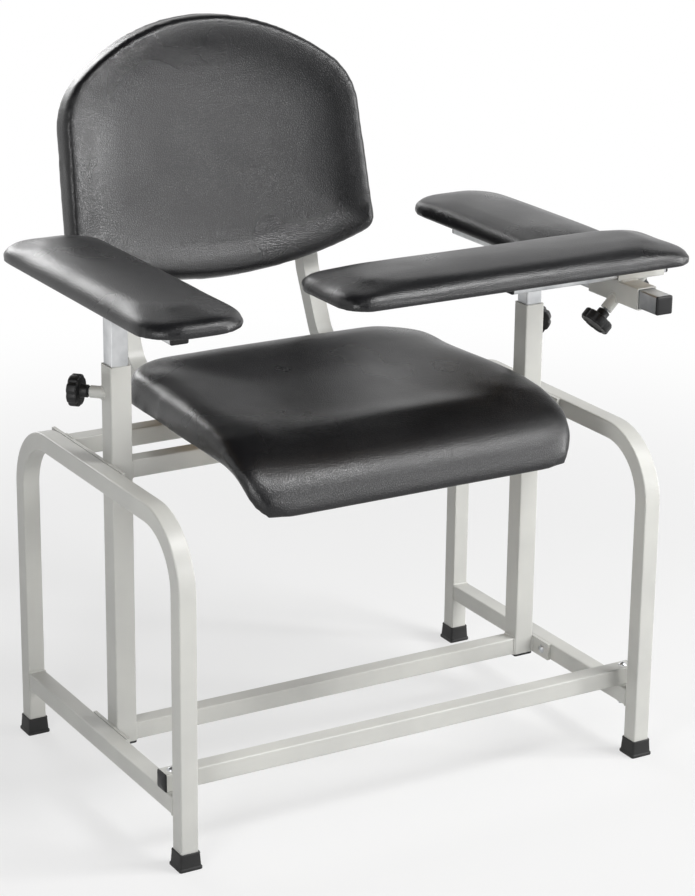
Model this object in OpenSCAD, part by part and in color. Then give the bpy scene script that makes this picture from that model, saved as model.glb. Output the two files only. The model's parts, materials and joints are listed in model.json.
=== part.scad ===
// Blood-drawing chair: two bent side frames, a bolted inner frame with two sleeve uprights,
// height-adjustable padded arms, and a front arm that slides two ways on the left one.
// Right and left are the sitter's. +X is the sitter's left, -Y is the front, Z = 0 is the floor.

/* [Side frames] */
// Distance between the centre planes of the side frames
frame_span = 708; // [690:1:740]
// Distance between the centres of a front and a rear leg
leg_reach = 476; // [460:1:500]
// Height of the top of the side frames
hoop_top = 470; // [440:1:490]
// Width of the square frame tube
tube_w = 25; // [24:0.5:27]
// Wall of the square frame tube
tube_wall = 1.5; // [1.2:0.1:2]
// Rounding of the frame tube's long edges
tube_edge = 2.2; // [2:0.1:3]
// Centre-line radius of the side frames' top bends
hoop_bend = 85; // [75:1:100]
// Height of the underside of the lower rails
rail_base = 70; // [60:1:90]

/* [Rubber feet] */
// Height of a foot
foot_h = 24; // [20:1:30]
// Width of a foot at the floor
foot_base_w = 33; // [31:0.5:36]
// Width of a foot at its top
foot_top_w = 28.4; // [28:0.1:30]
// Rubber under the end of the leg
foot_floor = 5; // [3:0.5:7]

/* [Uprights] */
// Width of the square posts that carry the arms
post_w = 25; // [24:0.5:26]
// Wall of a post
post_wall = 1.5; // [1.2:0.1:2]
// Gap between a sliding tube and its sleeve, on each side
slide_gap = 0.5; // [0.4:0.05:0.6]
// Wall of a sleeve
sleeve_wall = 2; // [1.8:0.1:2.4]
// Centre of the uprights behind the middle of the side frames
upright_y = 15; // [5:1:25]
// Height of the top of the uprights
upright_top = 600; // [580:1:630]
// Height of the black plug's head below an upright
foot_plug_h = 4; // [3:0.5:6]

/* [Plates and crossbars] */
// Thickness of the plates that bolt to the side frames
plate_t = 5; // [4:0.5:6]
// How far the plates reach in front of the uprights
plate_front = 40; // [36:1:50]
// Length of a lower plate
lower_plate_len = 104; // [100:1:120]
// Gap between the rear end of an upper plate and the rear legs' centres
upper_plate_gap = 58; // [50:1:70]
// Centre of the rear seat bar ahead of the upper plates' rear ends
rear_bar_inset = 48; // [40:1:56]
// Gap between the front legs and the front crossbar
front_bar_gap = 14; // [8:1:24]
// Radius of the frame bolts' shanks
bolt_r = 3; // [2.5:0.25:3.5]
// Radius of a bolt's domed head
bolt_head_r = 6; // [5.5:0.25:7]
// Height of a bolt's domed head
bolt_head_h = 4; // [3:0.5:5]
// Distance of a plate bolt from the plate's end
bolt_inset = 16; // [14:1:20]

/* [Seat] */
// Width of the seat cushion
seat_w = 500; // [470:1:520]
// Front of the seat cushion before the middle of the side frames
seat_front = 232; // [220:1:245]
// Rear of the seat cushion behind the middle of the side frames
seat_rear = 216; // [205:1:230]
// Thickness of the seat cushion at its side rim
seat_t = 39; // [34:1:46]
// How much the rear rim rises above the side rims
seat_rear_rise = 9; // [4:1:14]
// How deep the middle of the seat is scooped
seat_scoop = 15; // [8:1:18]
// How far the front lip hangs below the board
seat_lip_drop = 56; // [44:1:60]
// Narrowing of the seat towards its rear, for each unit of depth
seat_taper_share = 0.00012; // [0:0.00001:0.0002]
// Corner radius at the front of the seat
seat_front_corner = 52; // [40:1:70]
// Corner radius at the rear of the seat
seat_rear_corner = 82; // [60:1:100]
// Thickness of the seat board
seat_board_t = 12; // [10:1:15]

/* [Backrest] */
// Width of the backrest
back_w = 500; // [470:1:520]
// Height of the backrest along its slope
back_h = 382; // [360:1:410]
// Thickness of the backrest cushion at its rim
back_t = 40; // [34:1:46]
// How far the sides of the backrest curve forward
back_wrap = 18; // [8:1:28]
// Depth of the inset panel below the rolled border
back_dish = 9; // [4:1:12]
// Radius of the backrest's top edge
back_top_arc = 342; // [300:1:400]
// Radius of the backrest's bottom edge
back_bottom_arc = 678; // [500:1:900]
// Radius of the backrest's upper corners
back_upper_corner = 95; // [70:1:120]
// Radius of the backrest's lower corners
back_lower_corner = 24; // [20:1:40]
// Narrowing of the backrest towards its top, for each unit of height
back_taper_share = 0.00018; // [0:0.00001:0.0003]
// Thickness of the back board
back_board_t = 12; // [10:1:15]
// Height of the backrest's lowest point
back_base_z = 600; // [590:1:620]

/* [Back tubes] */
// Distance between the back tubes' centres
back_tube_span = 308; // [280:1:330]
// Straight run under the seat
seat_run = 328; // [320:1:336]
// Straight run between the two bends
riser_run = 79; // [70:1:90]
// Straight run behind the backrest
back_run = 290; // [250:1:310]
// Bend behind the seat, in degrees
seat_turn = 64.5; // [62:0.5:67]
// Bend below the backrest, in degrees
back_turn = 13.5; // [12:0.5:16]
// Centre-line radius of the back tubes' bends
back_bend = 57; // [50:1:65]

/* [Arms] */
// Height of the underside of the right arm tube
right_arm_z = 674; // [640:1:700]
// Height of the underside of the left arm tube
left_arm_z = 659; // [645:1:690]
// Length of a post
post_len = 330; // [300:1:350]
// Reach of the right arm tube in front of the upright's centre
right_tube_front = 182; // [170:1:195]
// Reach of both arm tubes behind the upright's centre
arm_tube_rear = 184; // [170:1:200]
// Reach of the left arm tube in front of the upright's centre
left_tube_front = 309; // [300:1:320]
// Head of a black tube plug
plug_head = 4; // [3:0.5:5]
// Width of a side arm pad
pad_w = 151; // [140:1:160]
// Length of the right arm pad
right_pad_len = 488; // [460:1:500]
// Length of the left arm pad
left_pad_len = 366; // [350:1:370]
// Thickness of the bars that lift the left pad clear of the sliding sleeve
lift_bar_t = 7; // [5:0.5:9]
// Length of those bars
lift_bar_len = 110; // [90:1:120]
// Width of those bars
lift_bar_w = 30; // [26:1:40]
// Rear end of both side pads behind the upright's centre
pad_rear = 233; // [225:1:245]
// Front screw of the right pad ahead of the upright's centre
right_screw_front = 133; // [120:1:150]
// Rear screw of the right pad behind it
right_screw_rear = 111; // [100:1:125]
// Front screw of the left pad ahead of the upright's centre
left_screw_front = 41.5; // [36:0.5:50]
// Rear screw of the left pad behind it
left_screw_rear = 141.5; // [130:0.5:155]
// Thickness of an arm pad
pad_t = 28; // [25:1:34]
// Corner radius of an arm pad
pad_corner = 56; // [45:1:65]
// Thickness of a pad's board
pad_board_t = 9; // [8:1:12]

/* [Front arm] */
// Length of the sleeve that slides on the left arm tube
slide_sleeve_len = 110; // [100:1:116]
// Middle of that sleeve in front of the upright's centre
slide_sleeve_front = 217; // [214:1:220]
// Length of the sleeve that holds the front arm
cross_sleeve_len = 74; // [72:1:84]
// Middle of the cross sleeve to the left of the arm tube's centre
cross_sleeve_shift = 20; // [16:1:22]
// How far the front arm's tube passes through that sleeve
front_tube_past = 5; // [0:1:8]
// Length of the front arm's tube
front_tube_len = 243; // [225:1:250]
// Thickness of the plate between that tube and the pad
pad_plate_t = 3.5; // [3:0.5:5]
// Length of that plate
pad_plate_len = 60; // [50:1:70]
// Width of that plate
pad_plate_w = 90; // [70:1:110]
// Length of the front arm pad
front_pad_len = 532; // [510:1:550]
// Width of the front arm pad
front_pad_w = 160; // [150:1:165]
// Corner radius of the front arm pad
front_pad_corner = 40; // [34:1:56]
// Middle of the front pad to the sitter's left of the chair's middle
front_pad_x = 115; // [105:1:125]
// How far the front pad's middle sits in front of its tube
front_pad_ahead = 14; // [0:1:15]

/* [Clamp knobs] */
// Radius of a knob over its lobes
knob_r = 21.5; // [19:0.5:23]
// Depth of a knob's lobed head
knob_h = 14.5; // [13:0.5:18]
// Number of lobes
knob_lobes = 8; // [6:1:9]
// Radius of a lobe's hollow
knob_hollow_r = 6; // [5:0.5:6.5]
// Length of the hub between the knob and its stud
knob_hub = 10; // [8:0.5:12]
// Radius of the hub
knob_hub_r = 8.5; // [8:0.25:10]
// Radius of the threaded stud
stud_r = 4; // [3.5:0.25:5]
// Radius of the welded boss
boss_r = 8.25; // [8:0.25:10]
// Length of the welded boss
boss_len = 14; // [12:0.5:16]
// Stud seen between boss and hub
stud_show = 3; // [3:0.5:6]
// Distance of the lift clamps below the top of the uprights
clamp_drop = 40; // [30:1:50]

/* [Hidden] */
$fn = 48;

// Colours
powder = [0.8, 0.8, 0.78];
plated = [0.84, 0.85, 0.86];
black_vinyl = [0.06, 0.06, 0.065];
black_plastic = [0.05, 0.05, 0.05];
rubber = [0.04, 0.04, 0.04];
plywood = [0.72, 0.56, 0.37];

// Small fits and overruns
cut = 1;
seat_fit = 0.3;
bore_gap = 0.05;
lobe_round = 1;
hub_lap = 2;

// Side frames
hoop_x = frame_span / 2;
leg_y = leg_reach / 2;
tube_half = tube_w / 2;
rail_top = rail_base + tube_w;
rail_len = leg_reach - tube_w;
hoop_axis_z = hoop_top - tube_half;
bend_loss = hoop_bend;
leg_run = hoop_axis_z - bend_loss - foot_floor;
top_run = leg_reach - 2 * bend_loss;

// Inner frame
sleeve_in = post_w + 2 * slide_gap;
sleeve_w = sleeve_in + 2 * sleeve_wall;
sleeve_half = sleeve_w / 2;
plate_x = hoop_x - tube_half - plate_t / 2;
upright_x = hoop_x - tube_half - plate_t - sleeve_half;
bar_len = 2 * (upright_x - sleeve_half);
rear_bar_len = 2 * (plate_x - plate_t / 2);
plate_y = upright_y - sleeve_half - plate_front;
upper_plate_len = leg_y - upper_plate_gap - plate_y;
rear_bar_y = plate_y + upper_plate_len - rear_bar_inset;
front_bar_y = -leg_y + tube_half + front_bar_gap + tube_half;
front_bar_len = frame_span + tube_w;
bar_z = hoop_top - tube_half;
bolt_spots = [
  [1, plate_y + bolt_inset, hoop_axis_z], [1, plate_y + upper_plate_len - bolt_inset, hoop_axis_z],
  [1, plate_y + bolt_inset, rail_base + tube_half],
  [1, plate_y + lower_plate_len - bolt_inset, rail_base + tube_half]
];
bolt_grip = plate_t + tube_wall;
nut_flange_t = 1;
nut_flange_r = bolt_r + 2.4;
nut_len = 8;
bolt_tip = nut_len + 2;
crossbar_bolt_grip = 2 * tube_w;
crossbar_nut_h = 5;
crossbar_nut_r = 5.8;
crossbar_bolt_tip = crossbar_nut_h + 3;

// Seat and back frame
board_z = hoop_top + tube_w;
board_top = board_z + seat_board_t;
board_inset = 14;
board_front_setback = 74;
back_tube_x = back_tube_span / 2;
back_tube_y = upright_y - sleeve_half - plate_front - 20;
back_tube_z = hoop_top + tube_half;
lean = 90 - seat_turn - back_turn;
seat_corner = back_bend * tan(seat_turn / 2);
back_corner = back_bend * tan(back_turn / 2);
riser_foot = [back_tube_y + seat_run + seat_corner, back_tube_z];
riser_len = seat_corner + riser_run + back_corner;
riser_top = riser_foot + riser_len * [cos(seat_turn), sin(seat_turn)];
tube_to_rim = tube_half + back_t / 2;
tube_wrap = back_wrap * pow((back_tube_x - tube_half) / (back_w / 2), 2);
back_base_s = (back_base_z - riser_top.y + (tube_to_rim - tube_wrap) * -sin(lean)) / cos(lean);
back_base_y = riser_top.x + back_base_s * sin(lean) - (tube_to_rim - tube_wrap) * cos(lean);

// Arms
post_half = post_w / 2;
right_pad_z = right_arm_z + post_w;
left_pad_z = left_arm_z + post_w + lift_bar_t;
sleeve_axis_z = left_arm_z + post_half;
cross_axis_z = sleeve_axis_z + sleeve_w;
sleeve_y = upright_y - slide_sleeve_front;
cross_x = upright_x + cross_sleeve_shift;
front_tube_end = cross_x + cross_sleeve_len / 2 + front_tube_past;
front_tube_x = front_tube_end - front_tube_len;
front_pad_z = cross_axis_z + post_half + pad_plate_t;
front_pad_y = sleeve_y - front_pad_ahead;
lift_clamp_z = upright_top - clamp_drop;
screw_r = 2.2;
screw_head_r = 5;
screw_head_h = 2.4;
screw_bite = 7;
knob_face = boss_len + stud_show;

// Shares of an outline that the skins follow
arc_steps = 6;
side_steps = 8;
bend_steps = 20;

// Whole chair, moved so that the middle of its footprint is at the origin
front_reach = min(upright_y - left_tube_front - plug_head, front_pad_y - front_pad_w / 2);
module chair() {
  translate([0, -(front_reach + rear_reach) / 2, 0]) children();
}

// Square tube with rounded edges
module rounded_square(size, r) {
  square([size - 2 * r, size], center = true);
  square([size, size - 2 * r], center = true);
  for (x = [-1, 1], y = [-1, 1]) {
    translate([x * (size / 2 - r), y * (size / 2 - r)]) circle(r = r, $fn = 24);
  }
}

module tube_profile(size, wall) {
  difference() {
    rounded_square(size, tube_edge);
    rounded_square(size - 2 * wall, tube_edge - wall / 2);
  }
}

// Straight tubes along each axis, from their start point
module tube_z(size, wall, length) {
  linear_extrude(height = length) tube_profile(size, wall);
}

module tube_y(size, wall, length) {
  rotate([-90, 0, 0]) tube_z(size, wall, length);
}

module tube_x(size, wall, length) {
  rotate([90, 0, 90]) tube_z(size, wall, length);
}

// Tube along local X, bent in local XY: straight runs with a turn and a radius between them
module bent_tube(runs, turns, radius, size, wall, i = 0) {
  tube_x(size, wall, runs[i]);
  if (i < len(turns)) {
    translate([runs[i], radius, 0]) {
      rotate([0, 0, -90]) rotate_extrude(angle = turns[i], $fn = 96) translate([radius, 0]) tube_profile(size, wall);
      rotate([0, 0, turns[i]]) translate([0, -radius, 0]) bent_tube(runs, turns, radius, size, wall, i + 1);
    }
  }
}

// Round hole along X, centred on a point
module hole_x(r, length) {
  rotate([0, 90, 0]) cylinder(r = r, h = length, center = true);
}

module hoop(side) {
  difference() {
    translate([side * hoop_x, -leg_y, foot_floor]) rotate([90, 0, 90]) rotate([0, 0, 90])
      mirror([0, 1, 0]) bent_tube([leg_run, top_run, leg_run], [90, 90], hoop_bend, tube_w, tube_wall);
    for (spot = bolt_spots) {
      if (spot.z == hoop_axis_z) {
        translate([side * (hoop_x - tube_half), spot.y, spot.z]) hole_x(bolt_r + seat_fit, 2 * tube_edge + 2 * cut);
      }
    }
  }
}

module lower_rail(side) {
  difference() {
    translate([side * hoop_x, -rail_len / 2, rail_base + tube_half]) tube_y(tube_w, tube_wall, rail_len);
    for (spot = bolt_spots) {
      if (spot.z < hoop_axis_z) {
        translate([side * (hoop_x - tube_half), spot.y, spot.z]) hole_x(bolt_r + seat_fit, 2 * tube_edge + 2 * cut);
      }
    }
    translate([side * hoop_x, front_bar_y, rail_base - cut]) cylinder(r = bolt_r + seat_fit, h = tube_w + 2 * cut);
  }
}

module right_hoop() {
  chair() color(powder) hoop(-1);
}

module left_hoop() {
  chair() color(powder) hoop(1);
}

module right_lower_rail() {
  chair() color(powder) lower_rail(-1);
}

module left_lower_rail() {
  chair() color(powder) lower_rail(1);
}

// Side view of a foot, wide at the floor
module foot_side() {
  polygon([
    [-foot_base_w / 2, 0], [foot_base_w / 2, 0],
    [foot_top_w / 2, foot_h], [-foot_top_w / 2, foot_h]
  ]);
}

module foot() {
  difference() {
    intersection() {
      rotate([90, 0, 0]) linear_extrude(height = foot_base_w, center = true) foot_side();
      rotate([90, 0, 90]) linear_extrude(height = foot_base_w, center = true) foot_side();
    }
    translate([0, 0, foot_floor]) linear_extrude(height = foot_h) rounded_square(tube_w, tube_edge);
  }
}

module rubber_feet() {
  chair() color(rubber)
    for (x = [-1, 1], y = [-1, 1]) {
      translate([x * hoop_x, y * leg_y, 0]) foot();
    }
}

module upright(side) {
  difference() {
    translate([side * upright_x, upright_y, rail_base]) tube_z(sleeve_w, sleeve_wall, upright_top - rail_base);
    lift_clamp(side) translate([0, 0, -sleeve_w / 2]) cylinder(r = stud_r + seat_fit, h = sleeve_w);
  }
}

module right_upright() {
  chair() color(powder) upright(-1);
}

module left_upright() {
  chair() color(powder) upright(1);
}

// Plug for the end of a tube: head outside, shank inside, drawn along +Z from the tube's end
module tube_plug(size, wall, head) {
  shank = head + tube_wall;
  linear_extrude(height = head) rounded_square(size, tube_edge);
  translate([0, 0, -shank]) linear_extrude(height = shank) rounded_square(size - 2 * wall - 2 * seat_fit, tube_edge / 2);
}

module upright_plugs() {
  chair() color(black_plastic)
    for (side = [-1, 1]) {
      translate([side * upright_x, upright_y, rail_base]) rotate([180, 0, 0]) tube_plug(sleeve_w, sleeve_wall, foot_plug_h);
    }
}

// Flat bar bolted to a side frame, standing on edge
module flat_plate(side, length, z) {
  difference() {
    translate([side * plate_x - plate_t / 2, plate_y, z]) cube([plate_t, length, tube_w]);
    for (spot = bolt_spots) {
      translate([side * plate_x, spot.y, spot.z]) hole_x(bolt_r + seat_fit, plate_t + 2 * cut);
    }
  }
}

module right_upper_plate() {
  chair() color(powder) flat_plate(-1, upper_plate_len, hoop_top - tube_w);
}

module left_upper_plate() {
  chair() color(powder) flat_plate(1, upper_plate_len, hoop_top - tube_w);
}

module right_lower_plate() {
  chair() color(powder) flat_plate(-1, lower_plate_len, rail_base);
}

module left_lower_plate() {
  chair() color(powder) flat_plate(1, lower_plate_len, rail_base);
}

// Domed bolt head with its flat seat at zero, along +Z
module domed_head(r, h) {
  intersection() {
    cylinder(r = r, h = h);
    dome_r = (r * r + h * h) / (2 * h);
    translate([0, 0, h - dome_r]) sphere(r = dome_r, $fn = 64);
  }
}

module plate_bolt() {
  domed_head(bolt_head_r, bolt_head_h);
  translate([0, 0, -bolt_grip - bolt_tip]) cylinder(r = bolt_r, h = bolt_grip + bolt_tip);
}

module rivet_nut() {
  difference() {
    union() {
      translate([0, 0, -nut_len]) cylinder(r = nut_flange_r, h = nut_len);
    }
    translate([0, 0, -nut_len - cut]) cylinder(r = bolt_r + bore_gap, h = nut_len + 2 * cut);
  }
}

module plate_bolts() {
  chair() color(plated)
    for (side = [-1, 1], spot = bolt_spots) {
      translate([side * (plate_x - plate_t / 2), spot.y, spot.z]) rotate([0, -side * 90, 0]) plate_bolt();
    }
}

module rivet_nuts() {
  chair() color(plated)
    for (side = [-1, 1], spot = bolt_spots) {
      translate([side * (hoop_x - tube_half + tube_wall), spot.y, spot.z]) rotate([0, -side * 90, 0]) rivet_nut();
    }
}

module lower_crossbar() {
  chair() color(powder) translate([-bar_len / 2, upright_y, rail_base + tube_half]) tube_x(tube_w, tube_wall, bar_len);
}

module front_crossbar() {
  chair() color(powder)
    difference() {
      translate([-front_bar_len / 2, front_bar_y, rail_top + tube_half]) tube_x(tube_w, tube_wall, front_bar_len);
      for (side = [-1, 1]) {
        translate([side * hoop_x, front_bar_y, rail_top - cut]) cylinder(r = bolt_r + seat_fit, h = tube_w + 2 * cut);
      }
    }
}

// Domed plug for the front crossbar's ends
module domed_plug() {
  shank = plug_head + tube_wall;
  intersection() {
    linear_extrude(height = plug_head) rounded_square(tube_w, tube_edge);
    dome_r = (tube_w * tube_w + plug_head * plug_head) / (2 * plug_head);
    translate([0, 0, plug_head - dome_r]) sphere(r = dome_r, $fn = 96);
  }
  translate([0, 0, -shank])
    linear_extrude(height = shank) rounded_square(tube_w - 2 * tube_wall - 2 * seat_fit, tube_edge / 2);
}

module crossbar_plugs() {
  chair() color(black_plastic)
    for (side = [-1, 1]) {
      translate([side * front_bar_len / 2, front_bar_y, rail_top + tube_half]) rotate([0, side * 90, 0]) domed_plug();
    }
}

module crossbar_bolts() {
  chair() color(plated)
    for (side = [-1, 1]) {
      translate([side * hoop_x, front_bar_y, rail_top + tube_w]) {
        domed_head(bolt_head_r, bolt_head_h);
        translate([0, 0, -crossbar_bolt_grip - crossbar_bolt_tip])
          cylinder(r = bolt_r, h = crossbar_bolt_grip + crossbar_bolt_tip);
        translate([0, 0, -crossbar_bolt_grip - crossbar_nut_h]) difference() {
          cylinder(r = crossbar_nut_r, h = crossbar_nut_h, $fn = 6);
          translate([0, 0, -cut]) cylinder(r = bolt_r + bore_gap, h = crossbar_nut_h + 2 * cut);
        }
      }
    }
}

module seat_front_bar() {
  chair() color(powder) translate([-bar_len / 2, upright_y, bar_z]) tube_x(tube_w, tube_wall, bar_len);
}

module seat_rear_bar() {
  chair() color(powder) translate([-rear_bar_len / 2, rear_bar_y, bar_z]) tube_x(tube_w, tube_wall, rear_bar_len);
}

// Side view of a back tube: one edge of its band at a distance h below and behind the centre line
function turned(a) = [cos(a), sin(a)];

function back_arc(centre, r, from, turn) = [for (k = [0 : bend_steps]) centre + r * turned(from + turn * k / bend_steps)];

function back_edge(h, over) =
  let (
    first = [seat_run, back_bend],
    bend_end = first + back_bend * turned(seat_turn - 90) + riser_run * turned(seat_turn),
    second = bend_end - back_bend * turned(seat_turn - 90),
    last = second + (back_bend + h) * turned(seat_turn + back_turn - 90)
  )
  concat(
    [[-over, -h]],
    back_arc(first, back_bend + h, -90, seat_turn),
    back_arc(second, back_bend + h, seat_turn - 90, back_turn),
    [last + (back_run + over) * turned(seat_turn + back_turn)]
  );

module back_band(h, over) {
  low = back_edge(h, over);
  high = back_edge(-h, over);
  n = len(high);
  linear_extrude(height = 2 * h, center = true) polygon(concat(low, [for (k = [1 : n]) high[n - k]]));
}

module back_tube(side) {
  difference() {
    translate([side * back_tube_x, back_tube_y, back_tube_z]) rotate([90, 0, 90]) difference() {
      back_band(tube_half, 0);
      back_band(tube_half - tube_wall, cut);
    }
    for (y = seat_screw_y) {
      translate([side * back_tube_x, y, hoop_top - cut]) cylinder(r = screw_r + seat_fit, h = tube_w + 2 * cut);
    }
    for (s = back_bolt_s) {
      back_place() translate([side * back_tube_x, 0, s]) rotate([90, 0, 0])
        cylinder(r = bolt_r + seat_fit, h = 4 * tube_to_rim, center = true);
    }
  }
}

module right_back_tube() {
  chair() color(powder) back_tube(-1);
}

module left_back_tube() {
  chair() color(powder) back_tube(1);
}

module back_tube_plugs() {
  chair() color(black_plastic)
    for (side = [-1, 1]) {
      translate([side * back_tube_x, back_tube_y, back_tube_z]) rotate([90, 0, 0]) tube_plug(tube_w, tube_wall, plug_head);
      translate([side * back_tube_x, back_tube_y + seat_run, back_tube_z + back_bend]) rotate([seat_turn, 0, 0])
        translate([0, riser_run, 0]) rotate([back_turn, 0, 0]) translate([0, back_run, -back_bend])
          rotate([-90, 0, 0]) tube_plug(tube_w, tube_wall, plug_head);
    }
}

// Points on a quarter arc about a centre, from a start angle
function quarter(x, y, r, from) =
  [for (k = [0 : arc_steps]) let (a = from + 90 * k / arc_steps) [x + r * cos(a), y + r * sin(a)]];

// Points between two corners, without the corners
function between(a, b, steps) = [for (k = [1 : steps - 1]) a + (b - a) * k / steps];

// Rounded rectangle between a front and a rear line, run anticlockwise from its rear left corner
function seat_outline(half, front, rear, front_r, rear_r) =
  let (
    a = quarter(half - rear_r, rear - rear_r, rear_r, 0),
    b = quarter(rear_r - half, rear - rear_r, rear_r, 90),
    c = quarter(front_r - half, front + front_r, front_r, 180),
    d = quarter(half - front_r, front + front_r, front_r, 270)
  )
  concat(
    a, between(a[arc_steps], b[0], side_steps), b, between(b[arc_steps], c[0], side_steps),
    c, between(c[arc_steps], d[0], side_steps), d, between(d[arc_steps], a[0], side_steps)
  );

// Closed skin through rings with the same number of points, with a fan at each end
module ring_skin(first, rings, last) {
  n = len(rings[0]);
  m = len(rings);
  points = concat([first], [for (ring = rings) each ring], [last]);
  function at(k, j) = 1 + k * n + j % n;
  polyhedron(
    points = points,
    faces = concat(
      [for (j = [0 : n - 1]) [0, at(0, j), at(0, j + 1)]],
      [for (k = [0 : m - 2], j = [0 : n - 1]) [at(k, j), at(k + 1, j), at(k + 1, j + 1)]],
      [for (k = [0 : m - 2], j = [0 : n - 1]) [at(k, j), at(k + 1, j + 1), at(k, j + 1)]],
      [for (j = [0 : n - 1]) [1 + m * n, at(m - 1, j + 1), at(m - 1, j)]]
    ),
    convexity = 8
  );
}

// Smooth step from 0 to 1
function ease(t) = let (u = min(1, max(0, t))) u * u * (3 - 2 * u);

// Quarter-round fall at a distance d inside an edge of radius r
function edge_fall(d, r) = d >= r ? 0 : r - sqrt(r * r - (r - d) * (r - d));

// Seat cushion
seat_half = seat_w / 2;
seat_screw_inset = 45;
seat_screw_y = [back_tube_y + bolt_inset + seat_board_t, seat_rear - board_inset - seat_screw_inset];
seat_edge_r = 14;
seat_foot_r = 8;
seat_roll_len = 130;
seat_lip_len = 62;
seat_lip_start = 16;
seat_roll_h = seat_t + seat_lip_drop;
seat_board_front = -seat_front + board_front_setback;
seat_scoop_rim = 22;
seat_scoop_width = 150;

// How far the rolled front has fallen at y
function roll_fall(y) =
  let (t = min(1, max(0, (seat_roll_len - seat_front - y) / seat_roll_len))) seat_roll_h * (1 - sqrt(1 - t * t));

// Underside of the cushion, lower at the front lip
function seat_bottom(y) = board_z - seat_lip_drop * ease((seat_board_front - seat_lip_start - y) / seat_lip_len * 1.2);

// Top of the cushion at a distance d inside its outline
function seat_top(p, d) =
  let (
    fall = roll_fall(p.y),
    keep = 1 - fall / seat_roll_h,
    rise = seat_rear_rise * ease((p.y + seat_front) / (seat_front + seat_rear)),
    scoop = seat_scoop * ease((d - seat_scoop_rim) / seat_scoop_width)
  )
  board_z + seat_t + (rise - scoop - edge_fall(d, seat_edge_r)) * keep - fall;

function tapered(points) = [for (p = points) [p.x * (1 - seat_taper_share * p.y), p.y]];

function seat_ring(d) = tapered(seat_outline(
  seat_half - d, d - seat_front, seat_rear - d,
  max(seat_front_corner - d, seat_edge_r), max(seat_rear_corner - d, seat_edge_r)
));

function seat_top_ring(d) = [for (p = seat_ring(d)) [p.x, p.y, seat_top(p, d)]];

function seat_side_ring(d, share) =
  [for (p = seat_ring(d)) let (low = seat_bottom(p.y), high = seat_top(p, 0)) [p.x, p.y, low + (high - low) * share]];

function board_ring(gap, z) = [
  for (p = tapered(seat_outline(
    seat_half - board_inset + gap, seat_board_front - gap, seat_rear - board_inset + gap,
    seat_front_corner / 2, seat_rear_corner - board_inset
  ))) [p.x, p.y, z]
];

module seat_board() {
  chair() color(plywood)
    translate([0, 0, board_z]) difference() {
      linear_extrude(height = seat_board_t) polygon([for (p = board_ring(0, 0)) [p.x, p.y]]);
      for (side = [-1, 1], y = seat_screw_y) {
        translate([side * back_tube_x, y, -cut]) cylinder(r = screw_r + seat_fit, h = screw_bite + cut);
      }
    }
}

module seat_cushion() {
  side_shares = [0.12, 0.3, 0.55, 0.8];
  side_draw = [0, 0.8, 1.6, 0.8];
  chair() color(black_vinyl)
    ring_skin(
      [0, 0, board_top + seat_fit],
      concat(
        [board_ring(seat_fit, board_top + seat_fit), board_ring(seat_fit, board_z)],
        [[for (p = seat_ring(seat_foot_r)) [p.x, p.y, seat_bottom(p.y)]]],
        [for (k = [0 : len(side_shares) - 1]) seat_side_ring(side_draw[k], side_shares[k])],
        [for (d = [0.6, 3, 8, seat_edge_r, 24, 44, 72, 108, 150, 195]) seat_top_ring(d)]
      ),
      [0, 0, seat_top([0, 0], seat_half)]
    );
}

// Wood screw under a board, its head below zero
module pad_screw(grip) {
  translate([0, 0, -screw_head_h]) cylinder(r = screw_head_r, h = screw_head_h);
  cylinder(r = screw_r, h = grip + screw_bite);
}

module seat_screws() {
  chair() color(plated)
    for (side = [-1, 1], y = seat_screw_y) {
      translate([side * back_tube_x, y, hoop_top]) pad_screw(tube_w);
    }
}

// Backrest, drawn upright in its own frame: X across, Z up its slope, -Y towards the sitter
back_half = back_w / 2;
back_bolt_s = [80, 230];
back_rim_r = 12;
back_foot_r = 8;
back_border = 14;
back_panel = 62;
back_board_inset = 16;
back_rings = [0.4, 2.5, 6.5, back_border, 20, 27, 36, 48, back_panel, 90, 150];

module back_place() {
  translate([0, back_base_y, back_base_z]) rotate([-lean, 0, 0]) children();
}

// D outline: bottom arc, lower corners, sides, upper corners and top arc, drawn in by d
function back_outline(d) =
  let (
    half = back_half - d,
    low_r = max(back_lower_corner - d, back_foot_r),
    high_r = max(back_upper_corner - d, back_foot_r),
    low_arc = back_bottom_arc - d,
    high_arc = back_top_arc - d,
    low_x = half - low_r,
    low_z = back_bottom_arc - sqrt(pow(low_arc - low_r, 2) - low_x * low_x),
    high_x = half - high_r,
    high_z = back_h - back_top_arc + sqrt(pow(high_arc - high_r, 2) - high_x * high_x),
    low_a = atan2(low_z - back_bottom_arc, low_x),
    high_a = atan2(high_z - back_h + back_top_arc, high_x),
    bottom = [for (k = [0 : side_steps]) let (a = -90 + (low_a + 90) * k / side_steps)
      [low_arc * cos(a), back_bottom_arc + low_arc * sin(a)]],
    low = [for (k = [1 : arc_steps]) let (a = low_a * (1 - k / arc_steps))
      [low_x + low_r * cos(a), low_z + low_r * sin(a)]],
    high = [for (k = [0 : arc_steps]) let (a = high_a * k / arc_steps)
      [high_x + high_r * cos(a), high_z + high_r * sin(a)]],
    top = [for (k = [1 : side_steps]) let (a = high_a + (90 - high_a) * k / side_steps)
      [high_arc * cos(a), back_h - back_top_arc + high_arc * sin(a)]],
    half_line = concat(bottom, low, between(low[arc_steps - 1], high[0], arc_steps), high, top),
    n = len(half_line)
  )
  [for (p = concat(half_line, [for (k = [1 : n - 2]) [-half_line[n - 1 - k].x, half_line[n - 1 - k].y]]))
    [p.x * (1 - back_taper_share * p.y), p.y]];

// Forward curve of the backrest at x
function back_curve(x) = -back_wrap * pow(x / back_half, 2);

function back_ring(d, depth) = [for (p = back_outline(d)) [p.x, back_curve(p.x) + depth, p.y]];

// Share of the dish's depth, steepest beside the rim
function dish_share(t) = let (u = min(1, max(0, t))) u * (2 - u);

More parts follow.
